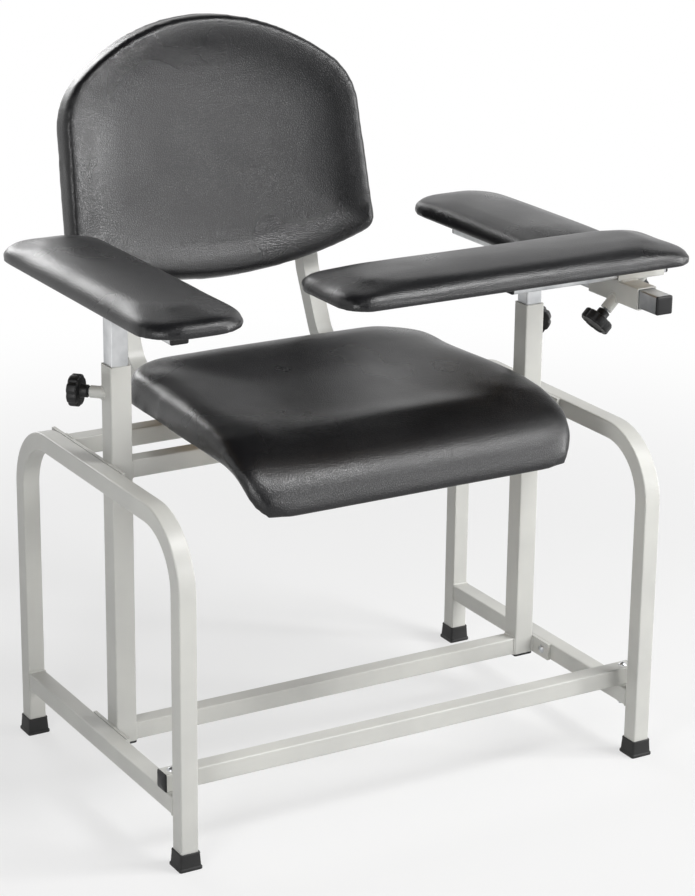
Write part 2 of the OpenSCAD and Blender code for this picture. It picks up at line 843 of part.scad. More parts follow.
function back_front(d) =
  -back_t / 2 + edge_fall(d, back_rim_r) + back_dish * dish_share((d - back_border) / (back_panel - back_border));

module back_cushion() {
  rear = back_t / 2;
  cavity = rear - back_board_t - seat_fit;
  middle = back_h / 2;
  chair() back_place() color(black_vinyl)
    ring_skin(
      [0, cavity, middle],
      concat(
        [back_ring(back_board_inset - seat_fit, cavity), back_ring(back_board_inset - seat_fit, rear)],
        [back_ring(back_foot_r, rear), back_ring(2, rear - back_foot_r / 4), back_ring(0, rear - back_foot_r)],
        [back_ring(1.2, 0)],
        [for (d = back_rings) back_ring(d, back_front(d))]
      ),
      [0, back_front(back_half), middle]
    );
}

module back_board() {
  arc_r = (back_half * back_half + back_wrap * back_wrap) / (2 * back_wrap);
  rear = back_t / 2;
  chair() back_place() color(plywood)
    difference() {
      rotate([90, 0, 0]) linear_extrude(height = 4 * back_t, center = true)
        polygon(back_outline(back_board_inset));
      translate([0, rear - arc_r - back_board_t, -cut]) cylinder(r = arc_r, h = back_h + 2 * cut, $fn = 180);
      difference() {
        translate([-back_w, -4 * back_t, -cut]) cube([2 * back_w, 8 * back_t, back_h + 2 * cut]);
        translate([0, rear - arc_r, -2 * cut]) cylinder(r = arc_r, h = back_h + 4 * cut, $fn = 180);
      }
      for (side = [-1, 1], s = back_bolt_s) {
        translate([side * back_tube_x, rear, s]) rotate([90, 0, 0]) cylinder(r = bolt_r + seat_fit, h = 2 * back_t, center = true);
      }
    }
}

module back_bolts() {
  behind = back_t / 2 - tube_wrap + tube_w;
  chair() back_place() color(plated)
    for (side = [-1, 1], s = back_bolt_s) {
      translate([side * back_tube_x, behind, s]) rotate([-90, 0, 0]) {
        domed_head(bolt_head_r, bolt_head_h);
        translate([0, 0, -tube_w - back_board_t]) cylinder(r = bolt_r, h = tube_w + back_board_t);
      }
    }
}

// The rearmost point of the backrest's skin
rear_reach = max([
  for (p = concat(back_ring(0, back_t / 2 - back_foot_r), back_ring(2, back_t / 2 - back_foot_r / 4), back_ring(back_foot_r, back_t / 2)))
    back_base_y + p.y * cos(lean) + p.z * sin(lean)
]);

// The place of each clamp: a long edge of its sleeve, with +Z pointing outwards and X along the sleeve
module lift_clamp(side) {
  translate([side * (upright_x + sleeve_half), upright_y + sleeve_half, lift_clamp_z])
    rotate([0, 0, 90 - side * 45]) rotate([0, 90, 0]) children();
}

module slide_clamp() {
  translate([upright_x - sleeve_half, sleeve_y, sleeve_axis_z - sleeve_half])
    rotate([0, -135, 0]) rotate([0, 0, 90]) children();
}

module cross_clamp() {
  translate([cross_clamp_x, sleeve_y + sleeve_half, cross_axis_z - sleeve_half]) rotate([-135, 0, 0]) children();
}

cross_clamp_x = cross_x + cross_sleeve_len / 2 - boss_r - cut;

module lift_bosses() {
  chair() color(powder)
    for (side = [-1, 1]) {
      lift_clamp(side) corner_boss();
    }
}

module post(side, tube_z) {
  translate([side * upright_x, upright_y, tube_z - post_len]) tube_z(post_w, post_wall, post_len);
}

// Arm tube along Y with holes for the pad's screws
module arm_tube(side, z, front, screws) {
  difference() {
    translate([side * upright_x, upright_y - front, z + post_half]) tube_y(post_w, post_wall, front + arm_tube_rear);
    for (y = screws) {
      translate([side * upright_x, y, z - cut]) cylinder(r = screw_r + seat_fit, h = post_w + 2 * cut);
    }
  }
}

module arm_plugs(side, z, front) {
  translate([side * upright_x, upright_y - front, z + post_half]) rotate([90, 0, 0]) tube_plug(post_w, post_wall, plug_head);
  translate([side * upright_x, upright_y + arm_tube_rear, z + post_half]) rotate([-90, 0, 0])
    tube_plug(post_w, post_wall, plug_head);
}

// Arm pad, drawn along Y about its middle, with its underside at zero
pad_edge_r = 15;
pad_foot_r = 4;
pad_board_inset = 12;
pad_crown = 5;

function pad_ring(half, length, corner, d, z) =
  let (r = max(corner - d, pad_foot_r))
  [for (p = seat_outline(half - d, d - length, length - d, r, r)) [p.x, p.y, z]];

module pad(width, length, corner) {
  half = width / 2;
  end = length / 2;
  inner = pad_board_inset - seat_fit;
  ring_skin(
    [0, 0, pad_board_t + seat_fit],
    concat(
      [pad_ring(half, end, corner, inner, pad_board_t + seat_fit), pad_ring(half, end, corner, inner, 0)],
      [pad_ring(half, end, corner, pad_foot_r, 0), pad_ring(half, end, corner, 0.8, pad_foot_r / 2)],
      [pad_ring(half, end, corner, 0, 2 * pad_foot_r)],
      [for (d = [1, 3, 6.5, pad_edge_r, 22, 40, 58])
        pad_ring(half, end, corner, d, pad_t - pad_crown * (1 - ease(d / half)) - edge_fall(d, pad_edge_r))]
    ),
    [0, 0, pad_t]
  );
}

module pad_board(width, length, corner, screws) {
  half = width / 2 - pad_board_inset;
  end = length / 2 - pad_board_inset;
  r = corner - pad_board_inset;
  difference() {
    linear_extrude(height = pad_board_t) polygon(seat_outline(half, -end, end, r, r));
    for (y = screws) {
      translate([0, y, -cut]) cylinder(r = screw_r + seat_fit, h = screw_bite + cut);
    }
  }
}

right_pad_y = upright_y + pad_rear - right_pad_len / 2;
left_pad_y = upright_y + pad_rear - left_pad_len / 2;
right_screw_y = [upright_y - right_screw_front, upright_y + right_screw_rear];
left_screw_y = [upright_y - left_screw_front, upright_y + left_screw_rear];

module right_post() {
  chair() color(plated) post(-1, right_arm_z);
}

module right_arm_tube() {
  chair() color(plated) arm_tube(-1, right_arm_z, right_tube_front, right_screw_y);
}

module right_arm_plugs() {
  chair() color(black_plastic) arm_plugs(-1, right_arm_z, right_tube_front);
}

module right_pad_board() {
  chair() color(plywood) translate([-upright_x, right_pad_y, right_pad_z])
    pad_board(pad_w, right_pad_len, pad_corner, [for (y = right_screw_y) y - right_pad_y]);
}

module right_pad() {
  chair() color(black_vinyl) translate([-upright_x, right_pad_y, right_pad_z]) pad(pad_w, right_pad_len, pad_corner);
}

module right_pad_screws() {
  chair() color(plated)
    for (y = right_screw_y) {
      translate([-upright_x, y, right_arm_z]) pad_screw(post_w);
    }
}

module left_post() {
  chair() color(plated) post(1, left_arm_z);
}

module left_arm_tube() {
  chair() color(plated) arm_tube(1, left_arm_z, left_tube_front, left_screw_y);
}

module left_arm_plugs() {
  chair() color(black_plastic) arm_plugs(1, left_arm_z, left_tube_front);
}

module left_pad_board() {
  chair() color(plywood) translate([upright_x, left_pad_y, left_pad_z])
    pad_board(pad_w, left_pad_len, pad_corner, [for (y = left_screw_y) y - left_pad_y]);
}

module left_pad() {
  chair() color(black_vinyl) translate([upright_x, left_pad_y, left_pad_z]) pad(pad_w, left_pad_len, pad_corner);
}

module left_pad_bars() {
  chair() color(plated)
    for (y = left_screw_y) {
      translate([upright_x, y, left_arm_z + post_w]) difference() {
        translate([-lift_bar_w / 2, -lift_bar_len / 2, 0]) cube([lift_bar_w, lift_bar_len, lift_bar_t]);
        translate([0, 0, -cut]) cylinder(r = screw_r + seat_fit, h = lift_bar_t + 2 * cut);
      }
    }
}

module left_pad_screws() {
  chair() color(plated)
    for (y = left_screw_y) {
      translate([upright_x, y, left_arm_z]) pad_screw(post_w + lift_bar_t);
    }
}

module slide_sleeve() {
  chair() color(powder)
    difference() {
      translate([upright_x, sleeve_y - slide_sleeve_len / 2, sleeve_axis_z]) tube_y(sleeve_w, sleeve_wall, slide_sleeve_len);
      slide_clamp() translate([0, 0, -sleeve_w / 2]) cylinder(r = stud_r + seat_fit, h = sleeve_w);
    }
}

module cross_sleeve() {
  chair() color(powder)
    difference() {
      translate([cross_x - cross_sleeve_len / 2, sleeve_y, cross_axis_z]) tube_x(sleeve_w, sleeve_wall, cross_sleeve_len);
      cross_clamp() translate([0, 0, -sleeve_w / 2]) cylinder(r = stud_r + seat_fit, h = sleeve_w);
    }
}

// Boss with its foot notched to sit on a sleeve's corner
module corner_boss() {
  difference() {
    boss_foot = boss_r + tube_edge;
    translate([0, 0, -boss_foot]) cylinder(r = boss_r, h = boss_len + boss_foot);
    rotate([45, 0, 0]) translate([-sleeve_w, -2 * sleeve_w, -2 * sleeve_w]) cube(2 * sleeve_w);
    translate([0, 0, -sleeve_w]) cylinder(r = stud_r + bore_gap, h = 2 * sleeve_w);
  }
}

module slide_bosses() {
  chair() color(powder) {
    slide_clamp() corner_boss();
    cross_clamp() corner_boss();
  }
}

module front_arm_tube() {
  chair() color(plated)
    translate([front_tube_x, sleeve_y, cross_axis_z]) tube_x(post_w, post_wall, front_tube_len);
}

module front_arm_plugs() {
  chair() color(black_plastic) {
    translate([front_tube_x, sleeve_y, cross_axis_z]) rotate([0, -90, 0]) tube_plug(post_w, post_wall, plug_head);
    translate([front_tube_end, sleeve_y, cross_axis_z]) rotate([0, 90, 0]) tube_plug(post_w, post_wall, plug_head);
  }
}

plate_hole_y = (pad_plate_w - bolt_inset) / 2;
plate_hole_x = [bolt_inset / 2, pad_plate_len - bolt_inset / 2];

module front_pad_plate() {
  chair() color(plated)
    translate([front_tube_x, sleeve_y, front_pad_z - pad_plate_t]) difference() {
      translate([0, -pad_plate_w / 2, 0]) cube([pad_plate_len, pad_plate_w, pad_plate_t]);
      for (x = plate_hole_x, side = [-1, 1]) {
        translate([x, side * plate_hole_y, -cut]) cylinder(r = screw_r + seat_fit, h = pad_plate_t + 2 * cut);
      }
    }
}

module front_pad_board() {
  chair() color(plywood)
    difference() {
      translate([front_pad_x, front_pad_y, front_pad_z]) rotate([0, 0, 90]) pad_board(front_pad_w, front_pad_len, front_pad_corner, []);
      for (x = plate_hole_x, side = [-1, 1]) {
        translate([front_tube_x + x, sleeve_y + side * plate_hole_y, front_pad_z - cut])
          cylinder(r = screw_r + seat_fit, h = screw_bite + cut);
      }
    }
}

module front_pad() {
  chair() color(black_vinyl) translate([front_pad_x, front_pad_y, front_pad_z]) rotate([0, 0, 90])
    pad(front_pad_w, front_pad_len, front_pad_corner);
}

module front_pad_screws() {
  chair() color(plated)
    for (x = plate_hole_x, side = [-1, 1]) {
      translate([front_tube_x + x, sleeve_y + side * plate_hole_y, front_pad_z - pad_plate_t]) pad_screw(pad_plate_t);
    }
}

// Lobed clamp knob with its hub towards the boss
module knob() {
  hollow_ring = knob_r + knob_hollow_r / 2;
  difference() {
    union() {
      translate([0, 0, knob_face]) cylinder(r1 = knob_hub_r, r2 = knob_hub_r, h = knob_hub);
      translate([0, 0, knob_face + knob_hub]) difference() {
        intersection() {
          cylinder(r = knob_r, h = knob_h);
          translate([0, 0, knob_h / 2]) sphere(r = knob_r + lobe_round, $fn = 64);
        }
        for (k = [0 : knob_lobes - 1]) {
          rotate([0, 0, 360 * k / knob_lobes]) translate([hollow_ring, 0, -cut])
            cylinder(r = knob_hollow_r, h = knob_h + 2 * cut, $fn = 32);
        }
      }
    }
    translate([0, 0, knob_face - cut]) cylinder(r = stud_r + bore_gap, h = knob_hub + knob_h / 2 + cut + seat_fit);
  }
}

// Stud from the clamped tube's face to inside the knob
module stud() {
  translate([0, 0, -clamp_reach]) cylinder(r = stud_r, h = clamp_reach + knob_face + knob_hub + knob_h / 2);
}

clamp_reach = (sleeve_wall + slide_gap) * sqrt(2) + tube_edge * (sqrt(2) - 1) - bore_gap;

module right_lift_knob() {
  chair() color(black_plastic) lift_clamp(-1) knob();
}

module right_lift_stud() {
  chair() color(plated) lift_clamp(-1) stud();
}

module left_lift_knob() {
  chair() color(black_plastic) lift_clamp(1) knob();
}

module left_lift_stud() {
  chair() color(plated) lift_clamp(1) stud();
}

module slide_knob() {
  chair() color(black_plastic) slide_clamp() knob();
}

module slide_stud() {
  chair() color(plated) slide_clamp() stud();
}

module cross_knob() {
  chair() color(black_plastic) cross_clamp() knob();
}

module cross_stud() {
  chair() color(plated) cross_clamp() stud();
}

right_hoop();
left_hoop();
right_lower_rail();
left_lower_rail();
rubber_feet();
right_upright();
left_upright();
upright_plugs();
right_upper_plate();
left_upper_plate();
right_lower_plate();
left_lower_plate();
plate_bolts();
rivet_nuts();
lower_crossbar();
front_crossbar();
crossbar_plugs();
crossbar_bolts();
seat_front_bar();
seat_rear_bar();
right_back_tube();
left_back_tube();
back_tube_plugs();
seat_board();
seat_cushion();
seat_screws();
back_board();
back_cushion();
back_bolts();
lift_bosses();
right_post();
right_arm_tube();
right_arm_plugs();
right_pad_board();
right_pad();
right_pad_screws();
left_post();
left_arm_tube();
left_arm_plugs();
left_pad_board();
left_pad();
left_pad_bars();
left_pad_screws();
slide_sleeve();
cross_sleeve();
slide_bosses();
front_arm_tube();
front_arm_plugs();
front_pad_plate();
front_pad_board();
front_pad();
front_pad_screws();
right_lift_knob();
right_lift_stud();
left_lift_knob();
left_lift_stud();
slide_knob();
slide_stud();
cross_knob();
cross_stud();
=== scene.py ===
"""Looks of the blood-drawing chair: cushions, welds, clamp knobs, plugs, feet and every finish."""

import json
import logging
import math
from dataclasses import dataclass
from enum import Enum
from typing import Callable, Iterable, Sequence

import bmesh
import bpy
import numpy as np
from mathutils import Matrix, Vector


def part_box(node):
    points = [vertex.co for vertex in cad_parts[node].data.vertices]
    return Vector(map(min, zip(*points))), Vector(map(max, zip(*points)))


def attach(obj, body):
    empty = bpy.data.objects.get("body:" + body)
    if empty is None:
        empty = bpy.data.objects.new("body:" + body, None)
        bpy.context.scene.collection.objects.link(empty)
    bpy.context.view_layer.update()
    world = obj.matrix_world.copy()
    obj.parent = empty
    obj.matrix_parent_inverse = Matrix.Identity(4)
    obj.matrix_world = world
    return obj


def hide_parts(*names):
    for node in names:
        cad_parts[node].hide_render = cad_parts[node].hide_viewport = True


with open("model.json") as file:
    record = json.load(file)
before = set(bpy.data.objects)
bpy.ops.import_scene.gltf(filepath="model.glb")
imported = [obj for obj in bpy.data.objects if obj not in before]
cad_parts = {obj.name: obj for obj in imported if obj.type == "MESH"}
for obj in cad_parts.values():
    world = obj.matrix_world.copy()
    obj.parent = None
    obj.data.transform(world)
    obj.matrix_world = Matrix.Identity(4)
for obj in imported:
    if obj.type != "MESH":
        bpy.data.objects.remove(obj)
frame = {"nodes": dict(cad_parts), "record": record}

LOG = logging.getLogger("chair")
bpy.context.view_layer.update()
MM = 0.001
TINY = 1e-9
TUBE_HALF_MM = 12.5  # half of the 25 mm square tube
LEAN = math.radians(12)  # how far the backrest and its tubes lean back
UP, LEFT, REAR = Vector((0, 0, 1)), Vector((1, 0, 0)), Vector((0, 1, 0))
FRAME_BODY = "chair_frame"
Point = tuple[float, float, float]
Face = tuple[int, ...]
Rows = tuple[tuple[float, ...], ...]
Seam = tuple[list[Vector], bool]  # a path, and whether it ends where it starts


# Small helpers


def linear(hex_colour: str) -> tuple[float, float, float, float]:
    """Turns an sRGB hex colour into linear RGBA.

    Args:
        hex_colour: Six hex digits, such as "cdcdc8".

    Returns:
        The linear red, green and blue, and an alpha of one.
    """
    parts = [int(hex_colour[i : i + 2], 16) / 255 for i in (0, 2, 4)]
    red, green, blue = [c / 12.92 if c <= 0.04045 else ((c + 0.055) / 1.055) ** 2.4 for c in parts]
    return red, green, blue, 1.0


def per_mm(size_mm: float) -> float:
    """Texture scale at which one cell is size_mm wide in object space, which is in metres."""
    return 1 / (size_mm * MM)


def feed(node: bpy.types.Node, **inputs) -> bpy.types.Node:
    """Gives a shader node its inputs.

    Args:
        node: The node.
        **inputs: Socket name, with spaces as underscores, or i and its number, to a value, to the socket
            that feeds it, or to the node whose first output feeds it.

    Returns:
        The node.
    """
    for name, value in inputs.items():
        key = int(name[1:]) if name[0] == "i" and name[1:].isdigit() else name.replace("_", " ")
        if isinstance(value, bpy.types.Node):
            value = value.outputs[0]
        if isinstance(value, bpy.types.NodeSocket):
            node.id_data.links.new(value, node.inputs[key])
        else:
            node.inputs[key].default_value = value
    return node


def add_node(tree: bpy.types.NodeTree, kind: str, settings: dict | None = None, **inputs) -> bpy.types.Node:
    """Adds one shader node with its settings and its inputs.

    Args:
        tree: The material's node tree.
        kind: The node's type name, without the ShaderNode that it starts with.
        settings: Attributes of the node, such as its operation. A colour ramp's tones are given as the
            place and the hex colour of each.
        **inputs: As in feed.

    Returns:
        The new node.
    """
    node = tree.nodes.new(f"ShaderNode{kind}")
    for name, value in (settings or {}).items():
        if name == "tones":
            for element, (place, colour) in zip(node.color_ramp.elements, value):
                element.position = place
                element.color = linear(colour)
        else:
            setattr(node, name, value)
    return feed(node, **inputs)


def cleared(owner: bpy.types.Material | bpy.types.World) -> bpy.types.NodeTree:
    """The empty node tree of a new material or world.

    Args:
        owner: The material or world.

    Returns:
        Its node tree.
    """
    owner.use_nodes = True
    owner.node_tree.nodes.clear()
    return owner.node_tree


def linked(name: str, mesh: bpy.types.ID) -> bpy.types.Object:
    """A new object that holds a mesh, a lamp or a camera, in the scene.

    Args:
        name: The object's name.
        mesh: The mesh, lamp or camera.

    Returns:
        The object.
    """
    piece = bpy.data.objects.new(name, mesh)
    bpy.context.scene.collection.objects.link(piece)
    return piece


def new_object(name: str, points: Sequence[Point], faces: Sequence[Face]) -> bpy.types.Object:
    """Makes a smooth mesh object at the frame's origin.

    Args:
        name: The object's name.
        points: Vertices in metres, in the frame.
        faces: Vertex indices of each face.

    Returns:
        The object, linked to the scene, with its normals facing outwards.
    """
    mesh = bpy.data.meshes.new(name)
    mesh.from_pydata([tuple(p) for p in points], [], faces)
    shape = bmesh.new()
    shape.from_mesh(mesh)
    bmesh.ops.recalc_face_normals(shape, faces=shape.faces)
    shape.to_mesh(mesh)
    shape.free()
    mesh.shade_smooth()
    return linked(name, mesh)


def smooth_by_angle(piece: bpy.types.Object, degrees: float = 35) -> None:
    """Keeps edges sharper than the angle sharp, and shades the rest smooth.

    Args:
        piece: The piece.
        degrees: The angle.
    """
    piece.data.shade_smooth()
    piece.data.set_sharp_from_angle(angle=math.radians(degrees))


def stack_rings(rings: Sequence[Sequence[Point]]) -> tuple[list[Point], list[Face]]:
    """Joins rings of equal length into a skin, and closes its two ends.

    Args:
        rings: Rings of points, one above the other.

    Returns:
        The points and the faces.
    """
    count = len(rings[0])
    points = [p for ring in rings for p in ring]
    faces: list[Face] = []
    for k in range(len(rings) - 1):
        for j in range(count):
            a, b = k * count + j, k * count + (j + 1) % count
            faces.append((a, b, b + count, a + count))
    last = (len(rings) - 1) * count
    faces.append(tuple(range(count - 1, -1, -1)))
    faces.append(tuple(range(last, last + count)))
    return points, faces


def rounded_square(half: float, radius: float, height: float) -> list[Point]:
    """One ring in the shape of a rounded square, in local millimetres.

    Args:
        half: Half the square's width.
        radius: The radius of its corners.
        height: The ring's height.

    Returns:
        The ring's points.
    """
    steps = 5
    ring: list[Point] = []
    for quarter, (sx, sy) in enumerate(((1, 1), (-1, 1), (-1, -1), (1, -1))):
        for k in range(steps + 1):
            a = math.radians(90 * quarter + 90 * k / steps)
            x = sx * (half - radius) + radius * math.cos(a)
            y = sy * (half - radius) + radius * math.sin(a)
            ring.append((x, y, height))
    return ring


def placed(points: Iterable[Point], place: Matrix) -> list[Point]:
    """Moves local points in millimetres to their place in the frame, in metres."""
    return [tuple(place @ (Vector(p) * MM)) for p in points]


def looking(origin: Vector, axis: Vector, along: Vector | None = None) -> Matrix:
    """A place whose +Z is the axis and whose X is as near as it can be to along.

    Args:
        origin: The place's origin, in metres.
        axis: The direction of its +Z.
        along: The wished direction of its +X. Without it, X is near up, or level on an upright axis.

    Returns:
        The place as a matrix.
    """
    z = axis.normalized()
    nearly_upright = 0.9
    hint = along or (UP if abs(z.z) < nearly_upright else LEFT)
    y = z.cross(hint).normalized()
    x = y.cross(z)
    return Matrix.Translation(origin) @ Matrix((x, y, z)).transposed().to_4x4()


def corners(node: str) -> tuple[Vector, Vector]:
    """The lowest and highest corner of a CAD node at rest, in metres."""
    low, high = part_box(node)
    return Vector(low), Vector(high)


def turning(clamp: str, along: Vector | None = None) -> Matrix:
    """The place of a clamp's knob joint, with +Z along its axis.

    Args:
        clamp: The clamp's name.
        along: The wished direction of its +X.

    Returns:
        The place as a matrix.
    """
    joints = {j["name"]: j for j in frame["record"]["behaviour"]["joints"]}
    joint = joints[f"{clamp}_knob_turn"]
    return looking(Vector(joint["pos_m"]), Vector(joint["axis"]), along)


# Finishes


class Slot(str, Enum):
    """The record's material slots."""

    POWDER = "powder_steel"
    PLATED = "plated_steel"
    ZINC = "zinc_steel"
    RUBBER = "black_rubber"
    PLASTIC = "black_plastic"
    VINYL = "black_vinyl"
    PLYWOOD = "plywood"


@dataclass(frozen=True)
class Finish:
    """What every finish has: a name, a slot and a base colour."""

    name: str
    slot: Slot
    colour: str

    def surface(self, tree: bpy.types.NodeTree, shader: bpy.types.Node, place: bpy.types.NodeSocket) -> None:
        """Gives the shader its colour. Each kind of finish adds its own nodes.

        Args:
            tree: The material's node tree.
            shader: Its main shader.
            place: The place on the piece, in metres.
        """
        feed(shader, Base_Color=linear(self.colour))

    def material(self) -> bpy.types.Material:
        """Builds the material, or returns the one already made.

        Returns:
            The material.
        """
        known = bpy.data.materials.get(self.name)
        if known:
            return known
        made = bpy.data.materials.new(self.name)
        tree = cleared(made)
        shader = add_node(tree, "BsdfPrincipled")
        add_node(tree, "OutputMaterial", Surface=shader)
        self.surface(tree, shader, add_node(tree, "TexCoord").outputs["Object"])
        return made


@dataclass(frozen=True)
class PowderCoat(Finish):
    """Polyester powder baked on steel: a satin film with a faint orange peel."""

    dark: str = "b9b9b5"
    cloud_mm: float = 90
    peel_mm: float = 3.2  # a real peel is about 2 mm wide, drawn coarser so that it shows
    peel_height_mm: float = 0.025
    roughness: float = 0.36

    def surface(self, tree: bpy.types.NodeTree, shader: bpy.types.Node, place: bpy.types.NodeSocket) -> None:
        """Adds the peel, a slow change of tone and of gloss.

        Args:
            tree: The material's node tree.
            shader: Its main shader.
            place: The place on the piece, in metres.
        """
        peel = add_node(tree, "TexNoise", Vector=place, Scale=per_mm(self.peel_mm), Detail=1.0)
        cloud = add_node(tree, "TexNoise", Vector=place, Scale=per_mm(self.cloud_mm), Detail=3.0)
        tone = add_node(tree, "ValToRGB", {"tones": ((0.35, self.dark), (0.65, self.colour))}, Fac=cloud)
        least, most = self.roughness - 0.04, self.roughness + 0.05
        gloss = add_node(tree, "MapRange", Value=peel, To_Min=least, To_Max=most)
        bump = add_node(tree, "Bump", Height=peel, Strength=0.35, Distance=self.peel_height_mm * MM)
        feed(shader, Base_Color=tone, Roughness=gloss, Normal=bump, IOR=1.48)


@dataclass(frozen=True)
class PlatedSteel(Finish):
    """Drawn steel tube under nickel or zinc: a metal with fine lines from drawing and a soft blur."""

    dark: str = "a9abad"
    cloud_mm: float = 35
    line_mm: float = 1.4
    line_depth_mm: float = 0.02
    roughness: float = 0.3
    lines_along: Point = (1.0, 1.0, 0.06)

    def surface(self, tree: bpy.types.NodeTree, shader: bpy.types.Node, place: bpy.types.NodeSocket) -> None:
        """Adds long drawn lines and a slow change of blur.

        Args:
            tree: The material's node tree.
            shader: Its main shader.
            place: The place on the piece, in metres.
        """
        stretch = add_node(tree, "Mapping", Vector=place, Scale=self.lines_along)
        lines = add_node(tree, "TexNoise", Vector=stretch, Scale=per_mm(self.line_mm), Detail=2.0)
        cloud = add_node(tree, "TexNoise", Vector=place, Scale=per_mm(self.cloud_mm), Detail=3.0)
        tone = add_node(tree, "ValToRGB", {"tones": ((0.3, self.dark), (0.7, self.colour))}, Fac=cloud)
        least, most = self.roughness - 0.06, self.roughness + 0.1
        gloss = add_node(tree, "MapRange", Value=lines, To_Min=least, To_Max=most)
        bump = add_node(tree, "Bump", Height=lines, Strength=0.25, Distance=self.line_depth_mm * MM)
        feed(shader, Base_Color=tone, Roughness=gloss, Normal=bump, Metallic=1.0)


@dataclass(frozen=True)
class Vinyl(Finish):
    """Coated upholstery cloth embossed with leather grain: small irregular cells with soft shine on top, and
    painted shade that darkens the colour in the creases between them.
    """

    # the colour of the painted shade in the grain's creases
    dark: str = "0e0e0f"
    grain_mm: float = 3.2  # real grain is about 1 mm, drawn coarser so that it shows
    grain_height_mm: float = 0.2
    warp_mm: float = 7
    warp_by_mm: float = 1.6
    pore_mm: float = 0.9
    handled_mm: float = 120
    roughness: float = 0.3

    def surface(self, tree: bpy.types.NodeTree, shader: bpy.types.Node, place: bpy.types.NodeSocket) -> None:
        """Adds the grain's cells, their creases, painted shade that darkens the colour in the creases, and a
        slow change of shine from handling.

        Args:
            tree: The material's node tree.
            shader: Its main shader.
            place: The place on the piece, in metres.
        """
        add_on = {"operation": "MULTIPLY_ADD"}
        warp = add_node(tree, "TexNoise", Vector=place, Scale=per_mm(self.warp_mm), Detail=2.0)
        warped = warp.outputs["Color"]
        nudge = add_node(tree, "VectorMath", add_on, i0=warped, i1=(self.warp_by_mm * MM,) * 3, i2=place)
        edges = {"feature": "DISTANCE_TO_EDGE"}
        cells = add_node(tree, "TexVoronoi", edges, Vector=nudge, Scale=per_mm(self.grain_mm))
        crease = add_node(tree, "MapRange", Value=cells, From_Max=0.22)
        pores = add_node(tree, "TexNoise", Vector=place, Scale=per_mm(self.pore_mm), Detail=2.0)
        height = add_node(tree, "Math", add_on, i0=pores, i1=0.35, i2=crease)
        handled = add_node(tree, "TexNoise", Vector=place, Scale=per_mm(self.handled_mm), Detail=2.0)
        least, most = self.roughness - 0.05, self.roughness + 0.06
        gloss = add_node(tree, "MapRange", Value=handled, To_Min=least, To_Max=most)
        feed(gloss, From_Min=0.3, From_Max=0.7)
        # Painted shade: the colour darkens towards the creases between the cells, where the bump is lowest.
        tone = add_node(tree, "ValToRGB", {"tones": ((0.0, self.dark), (1.0, self.colour))}, Fac=crease)
        bump = add_node(tree, "Bump", Height=height, Strength=0.55, Distance=self.grain_height_mm * MM)
        feed(shader, Base_Color=tone, Roughness=gloss, Normal=bump, IOR=1.5, Specular_IOR_Level=0.43)


@dataclass(frozen=True)
class Moulded(Finish):
    """Injection-moulded or vulcanised part: even colour with the mould's spark-eroded texture."""

    texture_mm: float = 1.2
    texture_height_mm: float = 0.03
    cloud_mm: float = 20
    roughness: float = 0.45
    ior: float = 1.5

    def surface(self, tree: bpy.types.NodeTree, shader: bpy.types.Node, place: bpy.types.NodeSocket) -> None:
        """Adds the mould's texture and a slow change of blur.

        Args:
            tree: The material's node tree.
            shader: Its main shader.
            place: The place on the piece, in metres.
        """
        super().surface(tree, shader, place)
        grit = add_node(tree, "TexNoise", Vector=place, Scale=per_mm(self.texture_mm), Detail=2.0)
        cloud = add_node(tree, "TexNoise", Vector=place, Scale=per_mm(self.cloud_mm), Detail=2.0)
        least, most = self.roughness - 0.07, self.roughness + 0.07
        gloss = add_node(tree, "MapRange", Value=cloud, To_Min=least, To_Max=most)
        bump = add_node(tree, "Bump", Height=grit, Strength=0.4, Distance=self.texture_height_mm * MM)
        feed(shader, Roughness=gloss, Normal=bump, IOR=self.ior)


@dataclass(frozen=True)
class BirchPly(Finish):
    """Birch plywood with a clear sealer: long pale grain on its faces."""

    dark: str = "8f7350"
    ring_mm: float = 9.0
    pore_depth_mm: float = 0.1
    grain_along: Point = (0.08, 1.0, 1.0)
    roughness: float = 0.6

    def surface(self, tree: bpy.types.NodeTree, shader: bpy.types.Node, place: bpy.types.NodeSocket) -> None:
        """Adds grain that runs along X.

        Args:
            tree: The material's node tree.
            shader: Its main shader.
            place: The place on the piece, in metres.
        """
        stretch = add_node(tree, "Mapping", Vector=place, Scale=self.grain_along)
        scale = per_mm(self.ring_mm)
        rings = add_node(tree, "TexNoise", Vector=stretch, Scale=scale, Detail=5.0, Distortion=0.6)
        tone = add_node(tree, "ValToRGB", {"tones": ((0.3, self.dark), (0.7, self.colour))}, Fac=rings)
        bump = add_node(tree, "Bump", Height=rings, Strength=0.3, Distance=self.pore_depth_mm * MM)
        feed(shader, Base_Color=tone, Normal=bump, Roughness=self.roughness)


# Warm light grey with a satin shine, whose broad highlights break up a little in the peel.
POWDER = PowderCoat("powder_coated_steel", Slot.POWDER, "c1c1bc")
# Bright soft mirror, streaked along the tube.
PLATED = PlatedSteel("nickel_plated_tube", Slot.PLATED, "cfd0d1")
# Duller, bluish metal with an even grain, as on small turned and rolled parts.
ZINC = PlatedSteel("zinc_plated_screws", Slot.ZINC, "c2c4c6", line_mm=0.8, lines_along=(1.0, 1.0, 1.0))
# Near black, with a broad soft shine that the grain breaks into small cells, and painted shade darkening the
# grain's creases.
VINYL = Vinyl("embossed_vinyl", Slot.VINYL, "1b1b1d")
# Deep black with a low, even sheen.
NYLON = Moulded("moulded_nylon", Slot.PLASTIC, "121213", ior=1.4)
# Dull black, a little rough, with hardly any highlight.
RUBBER = Moulded("vulcanised_rubber", Slot.RUBBER, "131313", roughness=0.68, texture_height_mm=0.06)
# Pale brown with long darker streaks and a dry shine.
PLY = BirchPly("sealed_birch_plywood", Slot.PLYWOOD, "b39a72")
FINISHES = {finish.slot: finish for finish in (POWDER, PLATED, ZINC, VINYL, NYLON, RUBBER, PLY)}


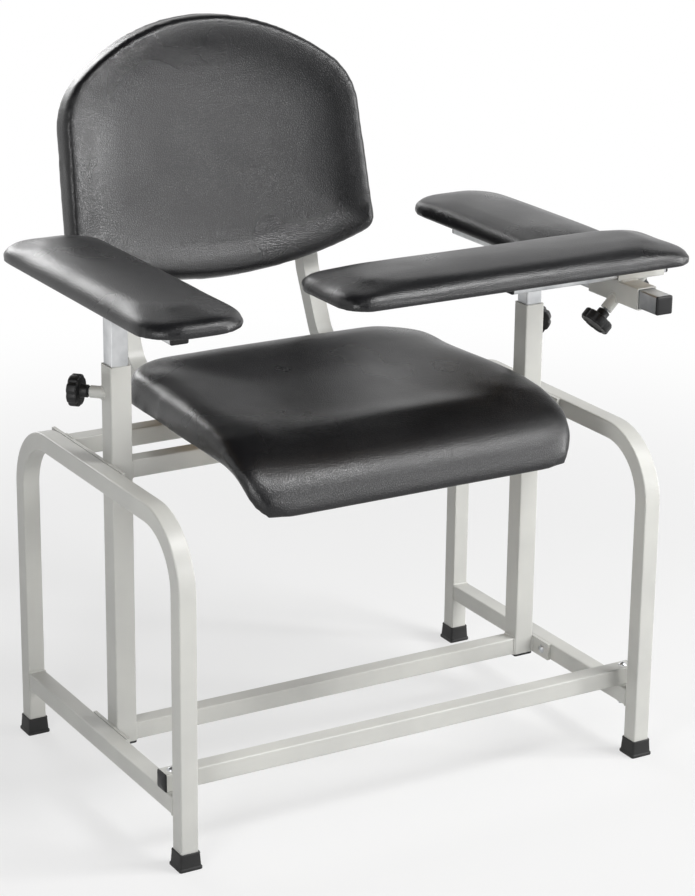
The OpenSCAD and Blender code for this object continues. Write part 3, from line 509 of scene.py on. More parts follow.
def dress(piece: bpy.types.Object, finish: Finish) -> bpy.types.Object:
    """Gives a piece its finish.

    Args:
        piece: The piece.
        finish: Its finish.

    Returns:
        The piece.
    """
    piece.data.materials.clear()
    piece.data.materials.append(finish.material())
    return piece


def stand_in(piece: bpy.types.Object, node: str, body: str, finish: Finish) -> bpy.types.Object:
    """Lets a piece stand for a CAD node on its body, and dresses it.

    Args:
        piece: The piece.
        node: The CAD node that it replaces.
        body: The body that it rides on.
        finish: Its finish.

    Returns:
        The piece.
    """
    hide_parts(node)
    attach(piece, body)
    return dress(piece, finish)


# Steel parts that show as they are, or with softer edges


@dataclass
class BareParts:
    """CAD nodes that show as they are, with a finish for each."""

    sharp_degrees: float = 35

    def build(self) -> list[bpy.types.Object]:
        """Dresses every CAD node by the slot that the record gives it.

        Returns:
            The nodes' objects.
        """
        slots = {part["node"]: part["material_slot"] for part in frame["record"]["subparts"]}
        for name, node in frame["nodes"].items():
            node.data.materials.clear()
            node.data.materials.append(FINISHES[Slot(slots[name])].material())
            smooth_by_angle(node, self.sharp_degrees)
        return list(frame["nodes"].values())


def node_copy(node: str, name: str) -> bpy.types.Object:
    """A new object with a copy of a CAD node's mesh, its doubled points merged.

    Args:
        node: The CAD node.
        name: The object's name.

    Returns:
        The object.
    """
    apart_mm = 0.02
    mesh = frame["nodes"][node].data.copy()
    mesh.name = name
    shape = bmesh.new()
    shape.from_mesh(mesh)
    bmesh.ops.remove_doubles(shape, verts=shape.verts, dist=apart_mm * MM)
    shape.to_mesh(mesh)
    shape.free()
    return linked(name, mesh)


@dataclass
class SoftenedSteel:
    """Cut plates and bent tubes whose long edges are broken, as a deburred and coated edge is."""

    nodes: tuple[str, ...]
    edge_mm: float
    flat_degrees: float = 0.4
    edge_degrees: float = 40
    segments: int = 3

    def build(self) -> list[bpy.types.Object]:
        """Copies each node's solid and rounds its sharp edges.

        Returns:
            The pieces.
        """
        pieces = []
        for name in self.nodes:
            piece = node_copy(name, f"{name}_softened")
            flatten = piece.modifiers.new("one face per side", "DECIMATE")
            flatten.decimate_type = "DISSOLVE"
            flatten.angle_limit = math.radians(self.flat_degrees)
            bevel = piece.modifiers.new("broken edges", "BEVEL")
            bevel.width = self.edge_mm * MM
            bevel.segments = self.segments
            bevel.angle_limit = math.radians(self.edge_degrees)
            bevel.use_clamp_overlap = True
            smooth_by_angle(piece)
            pieces.append(stand_in(piece, name, FRAME_BODY, POWDER))
        return pieces


# Cushions


@dataclass
class Cushion:
    """A foam pad under stretched vinyl, made by blowing up its CAD form a little as cloth.

    The cloth swells by pressure. Its swelling is then evened out and capped, and the skin is smoothed
    where it isn't seated, so that the vinyl lies taut and doesn't pucker.
    """

    node: str
    body: str
    held: Callable[[Vector], float]
    seated: Callable[[Vector], float]
    voxel_mm: float
    inset_mm: float
    cap_mm: float
    fill: float
    soft_rounds: int = 6
    taut_rounds: int = 30
    pressure: float = 4.0
    frames: int = 20
    quality: int = 5
    tension: float = 20
    bending: float = 2

    def build(self) -> bpy.types.Object:
        """Makes the cushion.

        Returns:
            The cushion, which stands for its CAD node.
        """
        piece = node_copy(self.node, f"{self.node}_cover")
        self.shrink(piece)
        self.remesh(piece)
        rest = self.places(piece)
        free = np.array([1 - self.seated(v.co) for v in piece.data.vertices])[:, None]
        self.inflate(piece)
        swell = self.spread(piece, self.places(piece) - rest, free, self.taut_rounds)
        length = np.linalg.norm(swell, axis=1, keepdims=True)
        swell *= np.minimum(1, self.cap_mm * MM / np.maximum(length, TINY))
        shaped = self.spread(piece, rest + swell, free, self.soft_rounds)
        piece.data.vertices.foreach_set("co", shaped.ravel())
        finer = piece.modifiers.new("fine skin", "SUBSURF")
        finer.levels = finer.render_levels = 1
        piece.data.shade_smooth()
        stand_in(piece, self.node, self.body, VINYL)
        return piece

    def shrink(self, piece: bpy.types.Object) -> None:
        """Draws the form in along its normals, so that the swollen cover ends where the CAD form is.

        Args:
            piece: The piece.
        """
        normals = [v.normal.copy() for v in piece.data.vertices]
        for v, normal in zip(piece.data.vertices, normals):
            v.co -= normal * self.inset_mm * MM

    def remesh(self, piece: bpy.types.Object) -> None:
        """Gives the form an even skin of small squares.

        Args:
            piece: The piece.
        """
        skin = piece.modifiers.new("even squares", "REMESH")
        skin.mode = "VOXEL"
        skin.voxel_size = self.voxel_mm * MM
        self.apply_all(piece)

    def inflate(self, piece: bpy.types.Object) -> None:
        """Lets pressure round the cover out where it isn't held.

        Args:
            piece: The piece.
        """
        group = piece.vertex_groups.new(name="held")
        for v in piece.data.vertices:
            group.add([v.index], self.held(v.co), "REPLACE")
        cloth = piece.modifiers.new("cover", "CLOTH")
        cloth.settings.use_pressure = True
        cloth.settings.uniform_pressure_force = self.pressure
        cloth.settings.effector_weights.gravity = 0
        cloth.settings.vertex_group_mass = group.name
        cloth.settings.quality = self.quality
        cloth.settings.tension_stiffness = self.tension
        cloth.settings.bending_stiffness = self.bending
        cloth.point_cache.frame_end = self.frames
        scene = bpy.context.scene
        for step in range(1, self.frames + 1):
            scene.frame_set(step)
        self.apply_all(piece)
        scene.frame_set(1)

    @staticmethod
    def places(piece: bpy.types.Object) -> np.ndarray:
        """The piece's points, one row each.

        Args:
            piece: The piece.

        Returns:
            The points, in metres.
        """
        flat = np.empty(len(piece.data.vertices) * 3)
        piece.data.vertices.foreach_get("co", flat)
        return flat.reshape(-1, 3)

    @staticmethod
    def spread(piece: bpy.types.Object, values: np.ndarray, free: np.ndarray, rounds: int) -> np.ndarray:
        """Evens out values over neighbouring points, where the points are free.

        Args:
            piece: The mesh whose edges join the neighbours.
            values: One row per point.
            free: How free each point is, from 0 to 1.
            rounds: How often it is done.

        Returns:
            The evened values.
        """
        pull = 0.6
        pairs = np.empty(len(piece.data.edges) * 2, dtype=np.int64)
        piece.data.edges.foreach_get("vertices", pairs)
        a, b = pairs.reshape(-1, 2).T
        count = np.bincount(pairs, minlength=len(values))[:, None]
        for _ in range(rounds):
            total = np.zeros_like(values)
            np.add.at(total, a, values[b])
            np.add.at(total, b, values[a])
            values = values + pull * free * (total / count - values)
        return values

    @staticmethod
    def apply_all(piece: bpy.types.Object) -> None:
        """Turns the piece's modifiers into its mesh.

        Args:
            piece: The piece.
        """
        shaped = piece.evaluated_get(bpy.context.evaluated_depsgraph_get())
        mesh = bpy.data.meshes.new_from_object(shaped)
        old = piece.data
        piece.modifiers.clear()
        piece.data = mesh
        bpy.data.meshes.remove(old)


def pocket(board: str, gap_mm: float) -> Callable[[Vector], bool]:
    """A test for points that lie at a level board, inside its outline or just past it.

    Args:
        board: The board's CAD node.
        gap_mm: How far past the board the pocket reaches.

    Returns:
        The test.
    """
    low, high = corners(board)
    gap = gap_mm * MM

    def test(p: Vector) -> bool:
        """Whether the point is in the board's pocket."""
        return low.x - gap < p.x < high.x + gap and low.y - gap < p.y < high.y + gap and p.z < high.z + gap

    return test


@dataclass
class Seat:
    """The seat cushion, with a lip that rolls down at the front."""

    skin_mm: float = 4.0
    voxel_mm: float = 6.0
    inset_mm: float = 1.5
    cap_mm: float = 6.0
    fill: float = 0.8
    soft_rounds: int = 10

    def build(self) -> bpy.types.Object:
        """Makes the seat.

        Returns:
            The cushion.
        """
        in_pocket = pocket("seat_board", self.skin_mm)
        board = corners("seat_board")[0]
        under = board.z + self.skin_mm * MM

        def held(p: Vector) -> float:
            """Holds the underside, the lip's too, and the pocket."""
            return float(p.z < under or in_pocket(p))

        def seated(p: Vector) -> float:
            """Keeps only what lies on the board as it is."""
            return float(in_pocket(p) or (p.z < under and p.y > board.y))

        sizes = (self.voxel_mm, self.inset_mm, self.cap_mm, self.fill, self.soft_rounds)
        return Cushion("seat_cushion", FRAME_BODY, held, seated, *sizes).build()


@dataclass
class Backrest:
    """The backrest cushion, held along its rear, with a broad rim and a dish that starts inside it."""

    rim_mm: float = 15.0
    steep_mm: float = 36.0
    slope: float = 0.36
    run_mm: float = 32.0
    solid_dish_mm: float = 9.0
    solid_border_mm: float = 14.0
    solid_panel_mm: float = 62.0
    skin_mm: float = 11.0
    held_mm: float = 4.0
    even_rounds: int = 14
    voxel_mm: float = 5.0
    inset_mm: float = 1.0
    cap_mm: float = 1.6
    fill: float = 0.8
    soft_rounds: int = 3

    def build(self) -> bpy.types.Object:
        """Makes the backrest.

        Returns:
            The cushion.
        """
        board_low, board_high = corners("back_board")
        rearward = Vector((0, math.cos(LEAN), -math.sin(LEAN)))
        reach = rearward.dot((board_low + board_high) / 2)

        def held(p: Vector) -> float:
            """Holds what lies behind the middle of the board."""
            return float(rearward.dot(p) > reach - self.held_mm * MM)

        sizes = (self.voxel_mm, self.inset_mm, self.cap_mm, self.fill, self.soft_rounds)
        piece = Cushion("back_cushion", FRAME_BODY, held, held, *sizes).build()
        self.mould(piece, reach - self.skin_mm * MM)
        return piece

    def mould(self, piece: bpy.types.Object, back_of_skin: float) -> None:
        """Turns the solid's narrow dish into the broad one, by how far each point lies inside the outline.

        Args:
            piece: The cushion.
            back_of_skin: How far back the front skin reaches, in metres along the lean.
        """
        points = Cushion.places(piece)
        rearward = np.array((0, math.cos(LEAN), -math.sin(LEAN)))
        upward = np.array((0, math.sin(LEAN), math.cos(LEAN)))
        inside = self.inside(np.stack((points[:, 0], points @ upward), axis=1)) / MM
        front = (points @ rearward < back_of_skin)[:, None]
        deeper = (self.depth(inside) - self.solid_depth(inside))[:, None] * front * MM
        deeper = Cushion.spread(piece, deeper, front, self.even_rounds)
        piece.data.vertices.foreach_set("co", (points + deeper * rearward).ravel())

    def depth(self, inside: np.ndarray) -> np.ndarray:
        """The dish's depth in millimetres: steepest a little way in, then ever flatter.

        Args:
            inside: How far each point lies inside the outline, in millimetres.

        Returns:
            The depth at each point.
        """
        wall = np.clip(inside - self.rim_mm, 0, self.steep_mm - self.rim_mm)
        rest = np.maximum(inside - self.steep_mm, 0)
        first = self.slope * wall**2 / (2 * (self.steep_mm - self.rim_mm))
        return first + self.slope * self.run_mm * (1 - np.exp(-rest / self.run_mm))

    def solid_depth(self, inside: np.ndarray) -> np.ndarray:
        """The depth of the CAD solid's dish there, in millimetres.

        Args:
            inside: How far each point lies inside the outline, in millimetres.

        Returns:
            The depth at each point.
        """
        share = np.clip((inside - self.solid_border_mm) / (self.solid_panel_mm - self.solid_border_mm), 0, 1)
        return self.solid_dish_mm * share * (2 - share)

    @staticmethod
    def inside(flat: np.ndarray) -> np.ndarray:
        """How far each flat point lies inside the outline that goes round them all.

        Args:
            flat: The points, one row of two coordinates each.

        Returns:
            The distance of each, in the points' own unit.
        """
        order = flat[np.lexsort((flat[:, 1], flat[:, 0]))]
        outline: list[np.ndarray] = []
        for row in (order, order[::-1]):
            half: list[np.ndarray] = []
            for p in row:
                while len(half) > 1:
                    a, b = half[-1] - half[-2], p - half[-1]
                    if a[0] * b[1] - a[1] * b[0] > 0:
                        break
                    half.pop()
                half.append(p)
            outline += half[:-1]
        nearest = np.full(len(flat), np.inf)
        for a, b in zip(outline, outline[1:] + outline[:1]):
            side = (b - a) / max(np.linalg.norm(b - a), TINY)
            nearest = np.minimum(nearest, (flat - a) @ np.array((-side[1], side[0])))
        return nearest


@dataclass
class ArmPad:
    """The right, left or front padded arm top on its board."""

    arm: str
    skin_mm: float = 4.0
    voxel_mm: float = 4.5
    inset_mm: float = 1.0
    cap_mm: float = 5.0
    fill: float = 0.9

    def build(self) -> bpy.types.Object:
        """Makes the pad.

        Returns:
            The cushion.
        """
        board = f"{self.arm}_pad_board"
        in_pocket = pocket(board, self.skin_mm)
        under = corners(board)[0].z + self.skin_mm * MM

        def held(p: Vector) -> float:
            """Holds the underside and the pocket."""
            return float(p.z < under or in_pocket(p))

        sizes = (self.voxel_mm, self.inset_mm, self.cap_mm, self.fill)
        return Cushion(f"{self.arm}_pad", f"{self.arm}_arm", held, held, *sizes).build()


# Clamps, plugs, feet and welds


@dataclass
class ClampKnobs:
    """The four lobed knobs and their threaded studs, in millimetres along each clamp's axis."""

    clamps: tuple[str, ...] = ("right_lift", "left_lift", "slide", "cross")
    radius: float = 21.5
    hollow: float = 1.7
    hollow_power: int = 4
    lobes: int = 8
    lobe_points: int = 14
    face: float = 17.0
    hub: float = 10.0
    hub_radius: float = 8.5
    hub_chamfer: float = 1.0
    hub_fillet: tuple[float, float] = (1.5, 2.0)  # how far it flares, and how far below the head
    back_inset: float = 1.0
    back_rise: float = 0.4
    back_shares: tuple[float, float] = (0.1, 0.8)  # the hollows' share at the hub and at the rim
    depth: float = 14.5
    edge: float = 2.4
    edge_steps: int = 4
    dish: Rows = ((5, 0.1, 0.7), (6.5, 1.2, 0.3), (12, 1.6, 0), (19.5, 1.7, 0))  # inset, drop, hollows' share
    bore_play: float = 0.05
    stud_radius: float = 4.0
    stud_points: int = 24
    pitch: float = 1.25
    pitch_rows: int = 6
    thread: float = 0.7
    knob_sharp_degrees: float = 40
    stud_sharp_degrees: float = 50

    def build(self) -> list[bpy.types.Object]:
        """Makes every knob and stud.

        Returns:
            The pieces.
        """
        pieces = []
        for name in self.clamps:
            place = turning(name)
            pieces += [self.knob(name, place), self.stud(name, place)]
        return pieces

    def lobed(self, size: float, height: float, share: float) -> list[Point]:
        """One ring of the lobed head, with its hollows at a share of their full depth.

        Args:
            size: The ring's radius over its lobes.
            height: Its height.
            share: The hollows' share.

        Returns:
            The ring's points.
        """
        ring = []
        count = self.lobes * self.lobe_points
        for k in range(count):
            a = math.tau * k / count
            wave = (0.5 + 0.5 * math.cos(self.lobes * a)) ** self.hollow_power
            r = size - self.hollow * share * wave
            ring.append((r * math.cos(a), r * math.sin(a), height))
        return ring

    def knob(self, name: str, place: Matrix) -> bpy.types.Object:
        """One knob: hub, lobed head with rounded rims and a dished outer face.

        Args:
            name: The clamp's name.
            place: The clamp's place.

        Returns:
            The knob.
        """
        back, front = self.face + self.hub, self.face + self.hub + self.depth
        flare, rise = self.hub_fillet
        hub_share, rim_share = self.back_shares
        under = back + self.back_rise
        rows = [
            (self.stud_radius + self.bore_play, self.face, 0),
            (self.hub_radius - self.hub_chamfer, self.face, 0),
            (self.hub_radius, self.face + self.hub_chamfer, 0),
            (self.hub_radius, back - rise, 0),
            (self.hub_radius + flare, back, hub_share),
            (self.radius - self.edge - self.back_inset, under, rim_share),
        ]
        turns = [math.radians(90 * k / self.edge_steps) for k in range(self.edge_steps + 1)]
        curve = [(self.edge * (1 - math.sin(a)), self.edge * (1 - math.cos(a))) for a in turns]
        rows += [(self.radius - inset, under + rise, 1) for inset, rise in curve]
        rows += [(self.radius - inset, front - drop, 1) for drop, inset in curve]
        rows += [(self.radius - inset, front - drop, share) for inset, drop, share in self.dish]
        points, faces = stack_rings([self.lobed(*row) for row in rows])
        piece = new_object(f"{name}_knob_moulding", placed(points, place), faces)
        smooth_by_angle(piece, self.knob_sharp_degrees)
        return stand_in(piece, f"{name}_knob", f"{name}_knob_body", NYLON)

    def stud(self, name: str, place: Matrix) -> bpy.types.Object:
        """One stud with a rolled thread, as long as its CAD solid.

        Args:
            name: The clamp's name.
            place: The clamp's place.

        Returns:
            The stud.
        """
        node = frame["nodes"][f"{name}_stud"]
        along = [place.inverted() @ v.co for v in node.data.vertices]
        low, high = min(p.z for p in along) / MM, max(p.z for p in along) / MM
        count = round((high - low) / self.pitch * self.pitch_rows)
        rings = []
        for k in range(count + 1):
            z = low + (high - low) * k / count
            ring = []
            for j in range(self.stud_points):
                phase = (z / self.pitch + j / self.stud_points) % 1
                depth = self.thread if k in (0, count) else self.thread * abs(2 * phase - 1)
                r = self.stud_radius - depth
                a = -math.tau * j / self.stud_points
                ring.append((r * math.cos(a), r * math.sin(a), z))
            rings.append(ring)
        points, faces = stack_rings(rings)
        piece = new_object(f"{name}_stud_thread", placed(points, place), faces)
        smooth_by_angle(piece, self.stud_sharp_degrees)
        return stand_in(piece, f"{name}_stud", f"{name}_stud_body", ZINC)


@dataclass
class TubePlugs:
    """Black plugs in the open ends of the tubes, in millimetres from the tube's end."""

    head: float = 4.0
    edge: float = 2.2
    shank: float = 5.5
    shank_corner: float = 1.2
    wall: float = 1.5
    play: float = 0.3
    rim: Rows = ((0, 1.6), (0.4, 0.6), (1.3, 0))  # inset from the tube's side, drop from the face
    dome_shares: Rows = ((3.2, 0.55), (7.0, 0.15))  # inset, and the share of the dome still above it
    middle: tuple[float, float] = (2.4, 1.0)
    usual_dome: float = 0.25
    bar_dome: float = 1.8
    sleeve_half: float = 15.0
    sharp_degrees: float = 50

    def plug(
        self,
        name: str,
        place: Matrix,
        body: str,
        node: str,
        half: float = TUBE_HALF_MM,
        dome: float | None = None,
    ) -> bpy.types.Object:
        """One plug in its tube end.

        Args:
            name: The piece's name.
            place: The tube's end, with +Z pointing outwards.
            body: The body that it rides on.
            node: The CAD node that it stands for.
            half: Half the tube's width.
            dome: How far the face bulges, where it isn't the usual dome.

        Returns:
            The plug.
        """
        dome = self.usual_dome if dome is None else dome
        inner, face = half - self.wall - self.play, self.head - dome
        rows = [
            (inner, self.shank_corner, -self.shank),
            (inner, self.shank_corner, 0),
            (half - self.play, self.edge, 0),
            (half, self.edge, self.play),
        ]
        rows += [(half - inset, self.edge, face - drop) for inset, drop in self.rim]
        rows += [(half - inset, self.edge, self.head - dome * share) for inset, share in self.dome_shares]
        rows.append((*self.middle, self.head))
        points, faces = stack_rings([rounded_square(*row) for row in rows])
        piece = new_object(name, placed(points, place), faces)
        smooth_by_angle(piece, self.sharp_degrees)
        return stand_in(piece, node, body, NYLON)

    def ends(
        self, tube: str, axis: int, names: tuple[str, str], body: str, **more: str | float
    ) -> list[bpy.types.Object]:
        """The plugs at both ends of a straight tube.

        Args:
            tube: The tube's CAD node.
            axis: 0 or 1 for a tube along X or Y.
            names: The plugs' names, at its low and its high end.
            body: The body that they ride on.
            **more: The plug's node, and its dome where it isn't the usual one.

        Returns:
            The two plugs.
        """
        low, high = corners(tube)
        pieces = []
        for name, end, sign in zip(names, (low, high), (-1, 1)):
            at, out = (low + high) / 2, Vector((0, 0, 0))
            at[axis], out[axis] = end[axis], sign
            pieces.append(self.plug(name, looking(at, out), body, **more))
        return pieces

    def build(self) -> list[bpy.types.Object]:
        """Makes every plug.

        Returns:
            The plugs.
        """
        pieces = []
        half = TUBE_HALF_MM * MM
        for side in ("right", "left"):
            low, high = corners(f"{side}_upright")
            middle = (low + high) / 2
            foot = looking(Vector((middle.x, middle.y, low.z)), -UP)
            name = f"{side}_upright_plug"
            pieces.append(self.plug(name, foot, FRAME_BODY, "upright_plugs", self.sleeve_half))
            names = (f"{side}_arm_front_plug", f"{side}_arm_rear_plug")
            pieces += self.ends(f"{side}_arm_tube", 1, names, f"{side}_arm", node=f"{side}_arm_plugs")
            low, high = corners(f"{side}_back_tube")
            x = (low.x + high.x) / 2
            foot = looking(Vector((x, low.y, low.z + half)), -REAR)
            tip = Vector((x, high.y - half * math.cos(LEAN), high.z - half * math.sin(LEAN)))
            top = looking(tip, Vector((0, math.sin(LEAN), math.cos(LEAN))), LEFT)
            for end, place in (("foot", foot), ("top", top)):
                name = f"{side}_back_tube_{end}_plug"
                pieces.append(self.plug(name, place, FRAME_BODY, "back_tube_plugs"))
        names = ("front_crossbar_right_plug", "front_crossbar_left_plug")
        bar = {"node": "crossbar_plugs", "dome": self.bar_dome}
        pieces += self.ends("front_crossbar", 0, names, FRAME_BODY, **bar)
        names = ("front_arm_inner_plug", "front_arm_outer_plug")
        return pieces + self.ends("front_arm_tube", 0, names, "front_arm", node="front_arm_plugs")


@dataclass
class RubberFeet:
    """Four push-on rubber feet with a wide sole and a rolled top, in millimetres above the floor."""

    sole: float = 16.5
    collar: float = 14.2
    height: float = 24.0
    floor: float = 5.0
    play: float = 0.05
    socket: tuple[float, float] = (2.2, 0.3)  # the leg's corner radius, and the drop of the mouth
    middle: tuple[float, float] = (4, 2)
    sole_rows: Rows = (  # inset from the sole, corner radius, height
        (10.5, 2, 0.6),
        (3.2, 2, 0.6),
        (2.6, 2, 0),
        (0.7, 2.6, 0),
        (0, 3, 0.8),
        (0, 3, 3.6),
        (0.6, 3, 4.6),
        (1.2, 3, 5.0),
    )
    collar_rows: Rows = ((-0.1, 3, 3), (-0.3, 3, 1.6), (0.1, 3, 0.4), (0.7, 2.8, 0))  # inset, corner, drop
    sharp_degrees: float = 45

    def build(self) -> list[bpy.types.Object]:
        """Makes the feet under the legs.

        Returns:
            The feet.
        """
        low, high = corners("rubber_feet")
        pieces = []
        inset = self.sole * MM
        for x_name, x in (("right", low.x + inset), ("left", high.x - inset)):
            for y_name, y in (("front", low.y + inset), ("rear", high.y - inset)):
                points, faces = stack_rings(self.rings())
                place = Matrix.Translation((x, y, low.z))
                piece = new_object(f"{x_name}_{y_name}_foot", placed(points, place), faces)
                smooth_by_angle(piece, self.sharp_degrees)
                pieces.append(stand_in(piece, "rubber_feet", FRAME_BODY, RUBBER))
        return pieces

    def rings(self) -> list[list[Point]]:
        """The foot's rings from the sole's middle, up its outside and down to the leg's end.

        Returns:
            The rings.
        """
        inner = TUBE_HALF_MM + self.play
        corner, drop = self.socket
        rows = [(self.sole - inset, radius, height) for inset, radius, height in self.sole_rows]
        for inset, radius, down in self.collar_rows:
            rows.append((self.collar - inset, radius, self.height - down))
        rows += [(inner, corner, self.height - drop), (inner, corner, self.floor)]
        rows.append((*self.middle, self.floor))
        return [rounded_square(*row) for row in rows]


@dataclass
class WeldBeads:
    """Beads of weld under the coating, along the edges where tubes and plates meet, in millimetres."""

    radius: float = 1.7
    ripple: float = 0.35
    ripple_mm: float = 3.0
    sides: int = 8
    step: float = 0.75
    corner: float = 2.6
    end_share: float = 0.35
    end_taper: float = 2.0
    seam_gap: float = 2.0
    sleeve_gap: float = 1.0
    plate_gap: float = 4.0
    boss_radius: float = 8.3
    boss_points: int = 40
    boss_flat: float = 0.9

    def build(self) -> list[bpy.types.Object]:
        """Makes the beads of each body that has any.

        Returns:
            One piece per body.
        """
        bosses = [self.boss_ring("slide", REAR), self.boss_ring("cross", LEFT)]
        runs = {FRAME_BODY: self.frame_seams(), "slide_block": self.sleeve_seams() + bosses}
        runs["front_arm"] = self.plate_seams()
        for side in ("right", "left"):
            runs[f"{side}_arm"] = [self.collar(f"{side}_post", 2, corners(f"{side}_post")[1].z)]
        pieces = []
        for body, paths in runs.items():
            points: list[Point] = []
            faces: list[Face] = []
            for path, closed in paths:
                self.bead(path, closed, points, faces)
            piece = new_object(f"{body}_weld_beads", points, faces)
            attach(piece, body)
            pieces.append(dress(piece, PLATED if body.endswith("_arm") else POWDER))
        return pieces

    def frame_seams(self) -> list[Seam]:
        """Every seam of the fixed frame: bars, rails, plates, back tubes and the lift bosses.

        Returns:
            The seams.
        """
        inner, plate = corners("left_upright")[0].x, corners("left_upper_plate")[0].x
        bars = (("lower_crossbar", inner), ("seat_front_bar", inner), ("seat_rear_bar", plate))
        seams = [self.collar(bar, 0, sign * x) for bar, x in bars for sign in (-1, 1)]
        for side in ("right", "left"):
            rail = f"{side}_lower_rail"
            seams += [self.collar(rail, 1, end.y) for end in corners(rail)]
            seams += self.upright_seams(side) + self.back_tube_seams(side)
        return seams + [self.boss_ring(f"{side}_lift", UP) for side in ("right", "left")]

    def collar(self, node: str, axis: int, level: float) -> Seam:
        """A loop round a square tube's outside.

        Args:
            node: The tube's CAD node.
            axis: 0, 1 or 2 for a tube along X, Y or Z.
            level: Where along that axis the loop lies, in metres.

        Returns:
            The loop.
        """
        low, high = corners(node)
        middle = (low + high) / 2
        across = [a for a in range(3) if a != axis]
        half = (high - low)[across[0]] / 2 / MM
        loop = []
        for x, y, _ in rounded_square(half, self.corner, 0):
            p = Vector((0, 0, 0))
            p[axis] = level
            p[across[0]] = middle[across[0]] + x * MM
            p[across[1]] = middle[across[1]] + y * MM
            loop.append(p)
        return loop, True

    @staticmethod
    def straight(start: Vector, end: Vector, gap_mm: float) -> Seam:
        """A straight run between two points, which stops short of both by the gap.

        Args:
            start: The first point.
            end: The last point.
            gap_mm: The gap.

        Returns:
            The run.
        """
        gap = (end - start).normalized() * gap_mm * MM
        return [start + gap, end - gap], False

    def upright_seams(self, side: str) -> list[Seam]:
        """Upright runs beside an upright, on the plates that cross it.

        Args:
            side: The chair's side.

        Returns:
            The runs.
        """
        low, high = corners(f"{side}_upright")
        x = high.x if side == "left" else low.x
        seams = []
        for plate in (f"{side}_lower_plate", f"{side}_upper_plate"):
            bottom, top = corners(plate)
            for y in (low.y, high.y):
                seams.append(self.straight(Vector((x, y, bottom.z)), Vector((x, y, top.z)), self.seam_gap))
        return seams

    def back_tube_seams(self, side: str) -> list[Seam]:
        """Runs along a back tube where it lies on the two seat bars.

        Args:
            side: The chair's side.

        Returns:
            The runs.
        """
        low, high = corners(f"{side}_back_tube")
        seams = []
        for bar in ("seat_front_bar", "seat_rear_bar"):
            front, rear = corners(bar)
            for x in (low.x, high.x):
                start, end = Vector((x, front.y, rear.z)), Vector((x, rear.y, rear.z))
                seams.append(self.straight(start, end, self.seam_gap))
        return seams

    def sleeve_seams(self) -> list[Seam]:
        """Runs between the two crossed sleeves."""
        low, high = corners("slide_sleeve")
        return self.level_runs(low.x, high.x, high.z, "cross_sleeve", self.sleeve_gap)

    def plate_seams(self) -> list[Seam]:
        """Runs along the front arm's tube under its plate."""
        low, high = corners("front_pad_plate")
        return self.level_runs(low.x, high.x, low.z, "front_arm_tube", self.plate_gap)

    def level_runs(self, start_x: float, end_x: float, z: float, tube: str, gap_mm: float) -> list[Seam]:
        """Level runs along X, at a tube's front and rear side.

        Args:
            start_x: Where they start, in metres.
            end_x: Where they end.
            z: Their height.
            tube: The tube's CAD node.
            gap_mm: How far they stop short of both ends.

        Returns:
            The two runs.
        """
        runs = []
        for y in (corner.y for corner in corners(tube)):
            runs.append(self.straight(Vector((start_x, y, z)), Vector((end_x, y, z)), gap_mm))
        return runs

    def boss_ring(self, clamp: str, along: Vector) -> Seam:
        """The saddle-shaped line where a boss meets the edge of its sleeve, which runs along a direction.

        Args:
            clamp: The clamp's name.
            along: The sleeve's direction.

        Returns:
            The line, as a loop.
        """
        ring = []
        for k in range(self.boss_points):
            a = math.tau * k / self.boss_points
            x, y = self.boss_radius * math.cos(a), self.boss_radius * math.sin(a)
            ring.append((x, y, -max(abs(y), self.boss_flat)))
        return [Vector(p) for p in placed(ring, turning(clamp, along))], True

    def bead(self, path: Sequence[Vector], closed: bool, points: list[Point], faces: list[Face]) -> None:
        """Adds one rippled bead along a path to the growing mesh.

        Args:
            path: The path's points, in metres.
            closed: Whether it ends where it starts.
            points: The mesh's points so far.
            faces: The mesh's faces so far.
        """
        fine = self.refined(path, closed)
        count, first = len(fine), len(points)
        for k, p in enumerate(fine):
            ahead = fine[(k + 1) % count] if closed or k + 1 < count else p
            behind = fine[k - 1] if closed or k > 0 else p
            way = (ahead - behind).normalized()
            side = way.orthogonal().normalized() if k == 0 else (side - way * side.dot(way)).normalized()
            up = way.cross(side)
            share = k * self.step / self.ripple_mm
            r = self.radius + self.ripple * (2 * (share % 1) - 1) ** 2 - self.ripple / 2
            if not closed:
                r *= min(1, self.end_share + min(k, count - 1 - k) * self.step / self.end_taper)
            for j in range(self.sides):
                a = math.tau * j / self.sides
                points.append(tuple(p + (side * math.cos(a) + up * math.sin(a)) * r * MM))
        for k in range(count if closed else count - 1):
            near, far = first + k * self.sides, first + (k + 1) % count * self.sides
            for j in range(self.sides):
                other = (j + 1) % self.sides
                faces.append((near + j, near + other, far + other, far + j))
        if not closed:
            faces.append(tuple(first + j for j in range(self.sides - 1, -1, -1)))
            last = first + (count - 1) * self.sides
            faces.append(tuple(last + j for j in range(self.sides)))

    def refined(self, path: Sequence[Vector], closed: bool) -> list[Vector]:
        """The path with points at even steps.

        Args:
            path: The path's points, in metres.
            closed: Whether it ends where it starts.

        Returns:
            The points.
        """
        ends = list(path) + ([path[0]] if closed else [])
        fine = []
        for a, b in zip(ends, ends[1:]):
            pieces = max(1, round((b - a).length / (self.step * MM)))
            fine += [a.lerp(b, k / pieces) for k in range(pieces)]
        return fine if closed else fine + [ends[-1]]


# Studio


@dataclass(frozen=True)
class Panel:
    """A panel that faces the chair: a softbox, or a black flag where it has no power."""

    name: str
    at: Point
    size: tuple[float, float]
    watts: float = 0


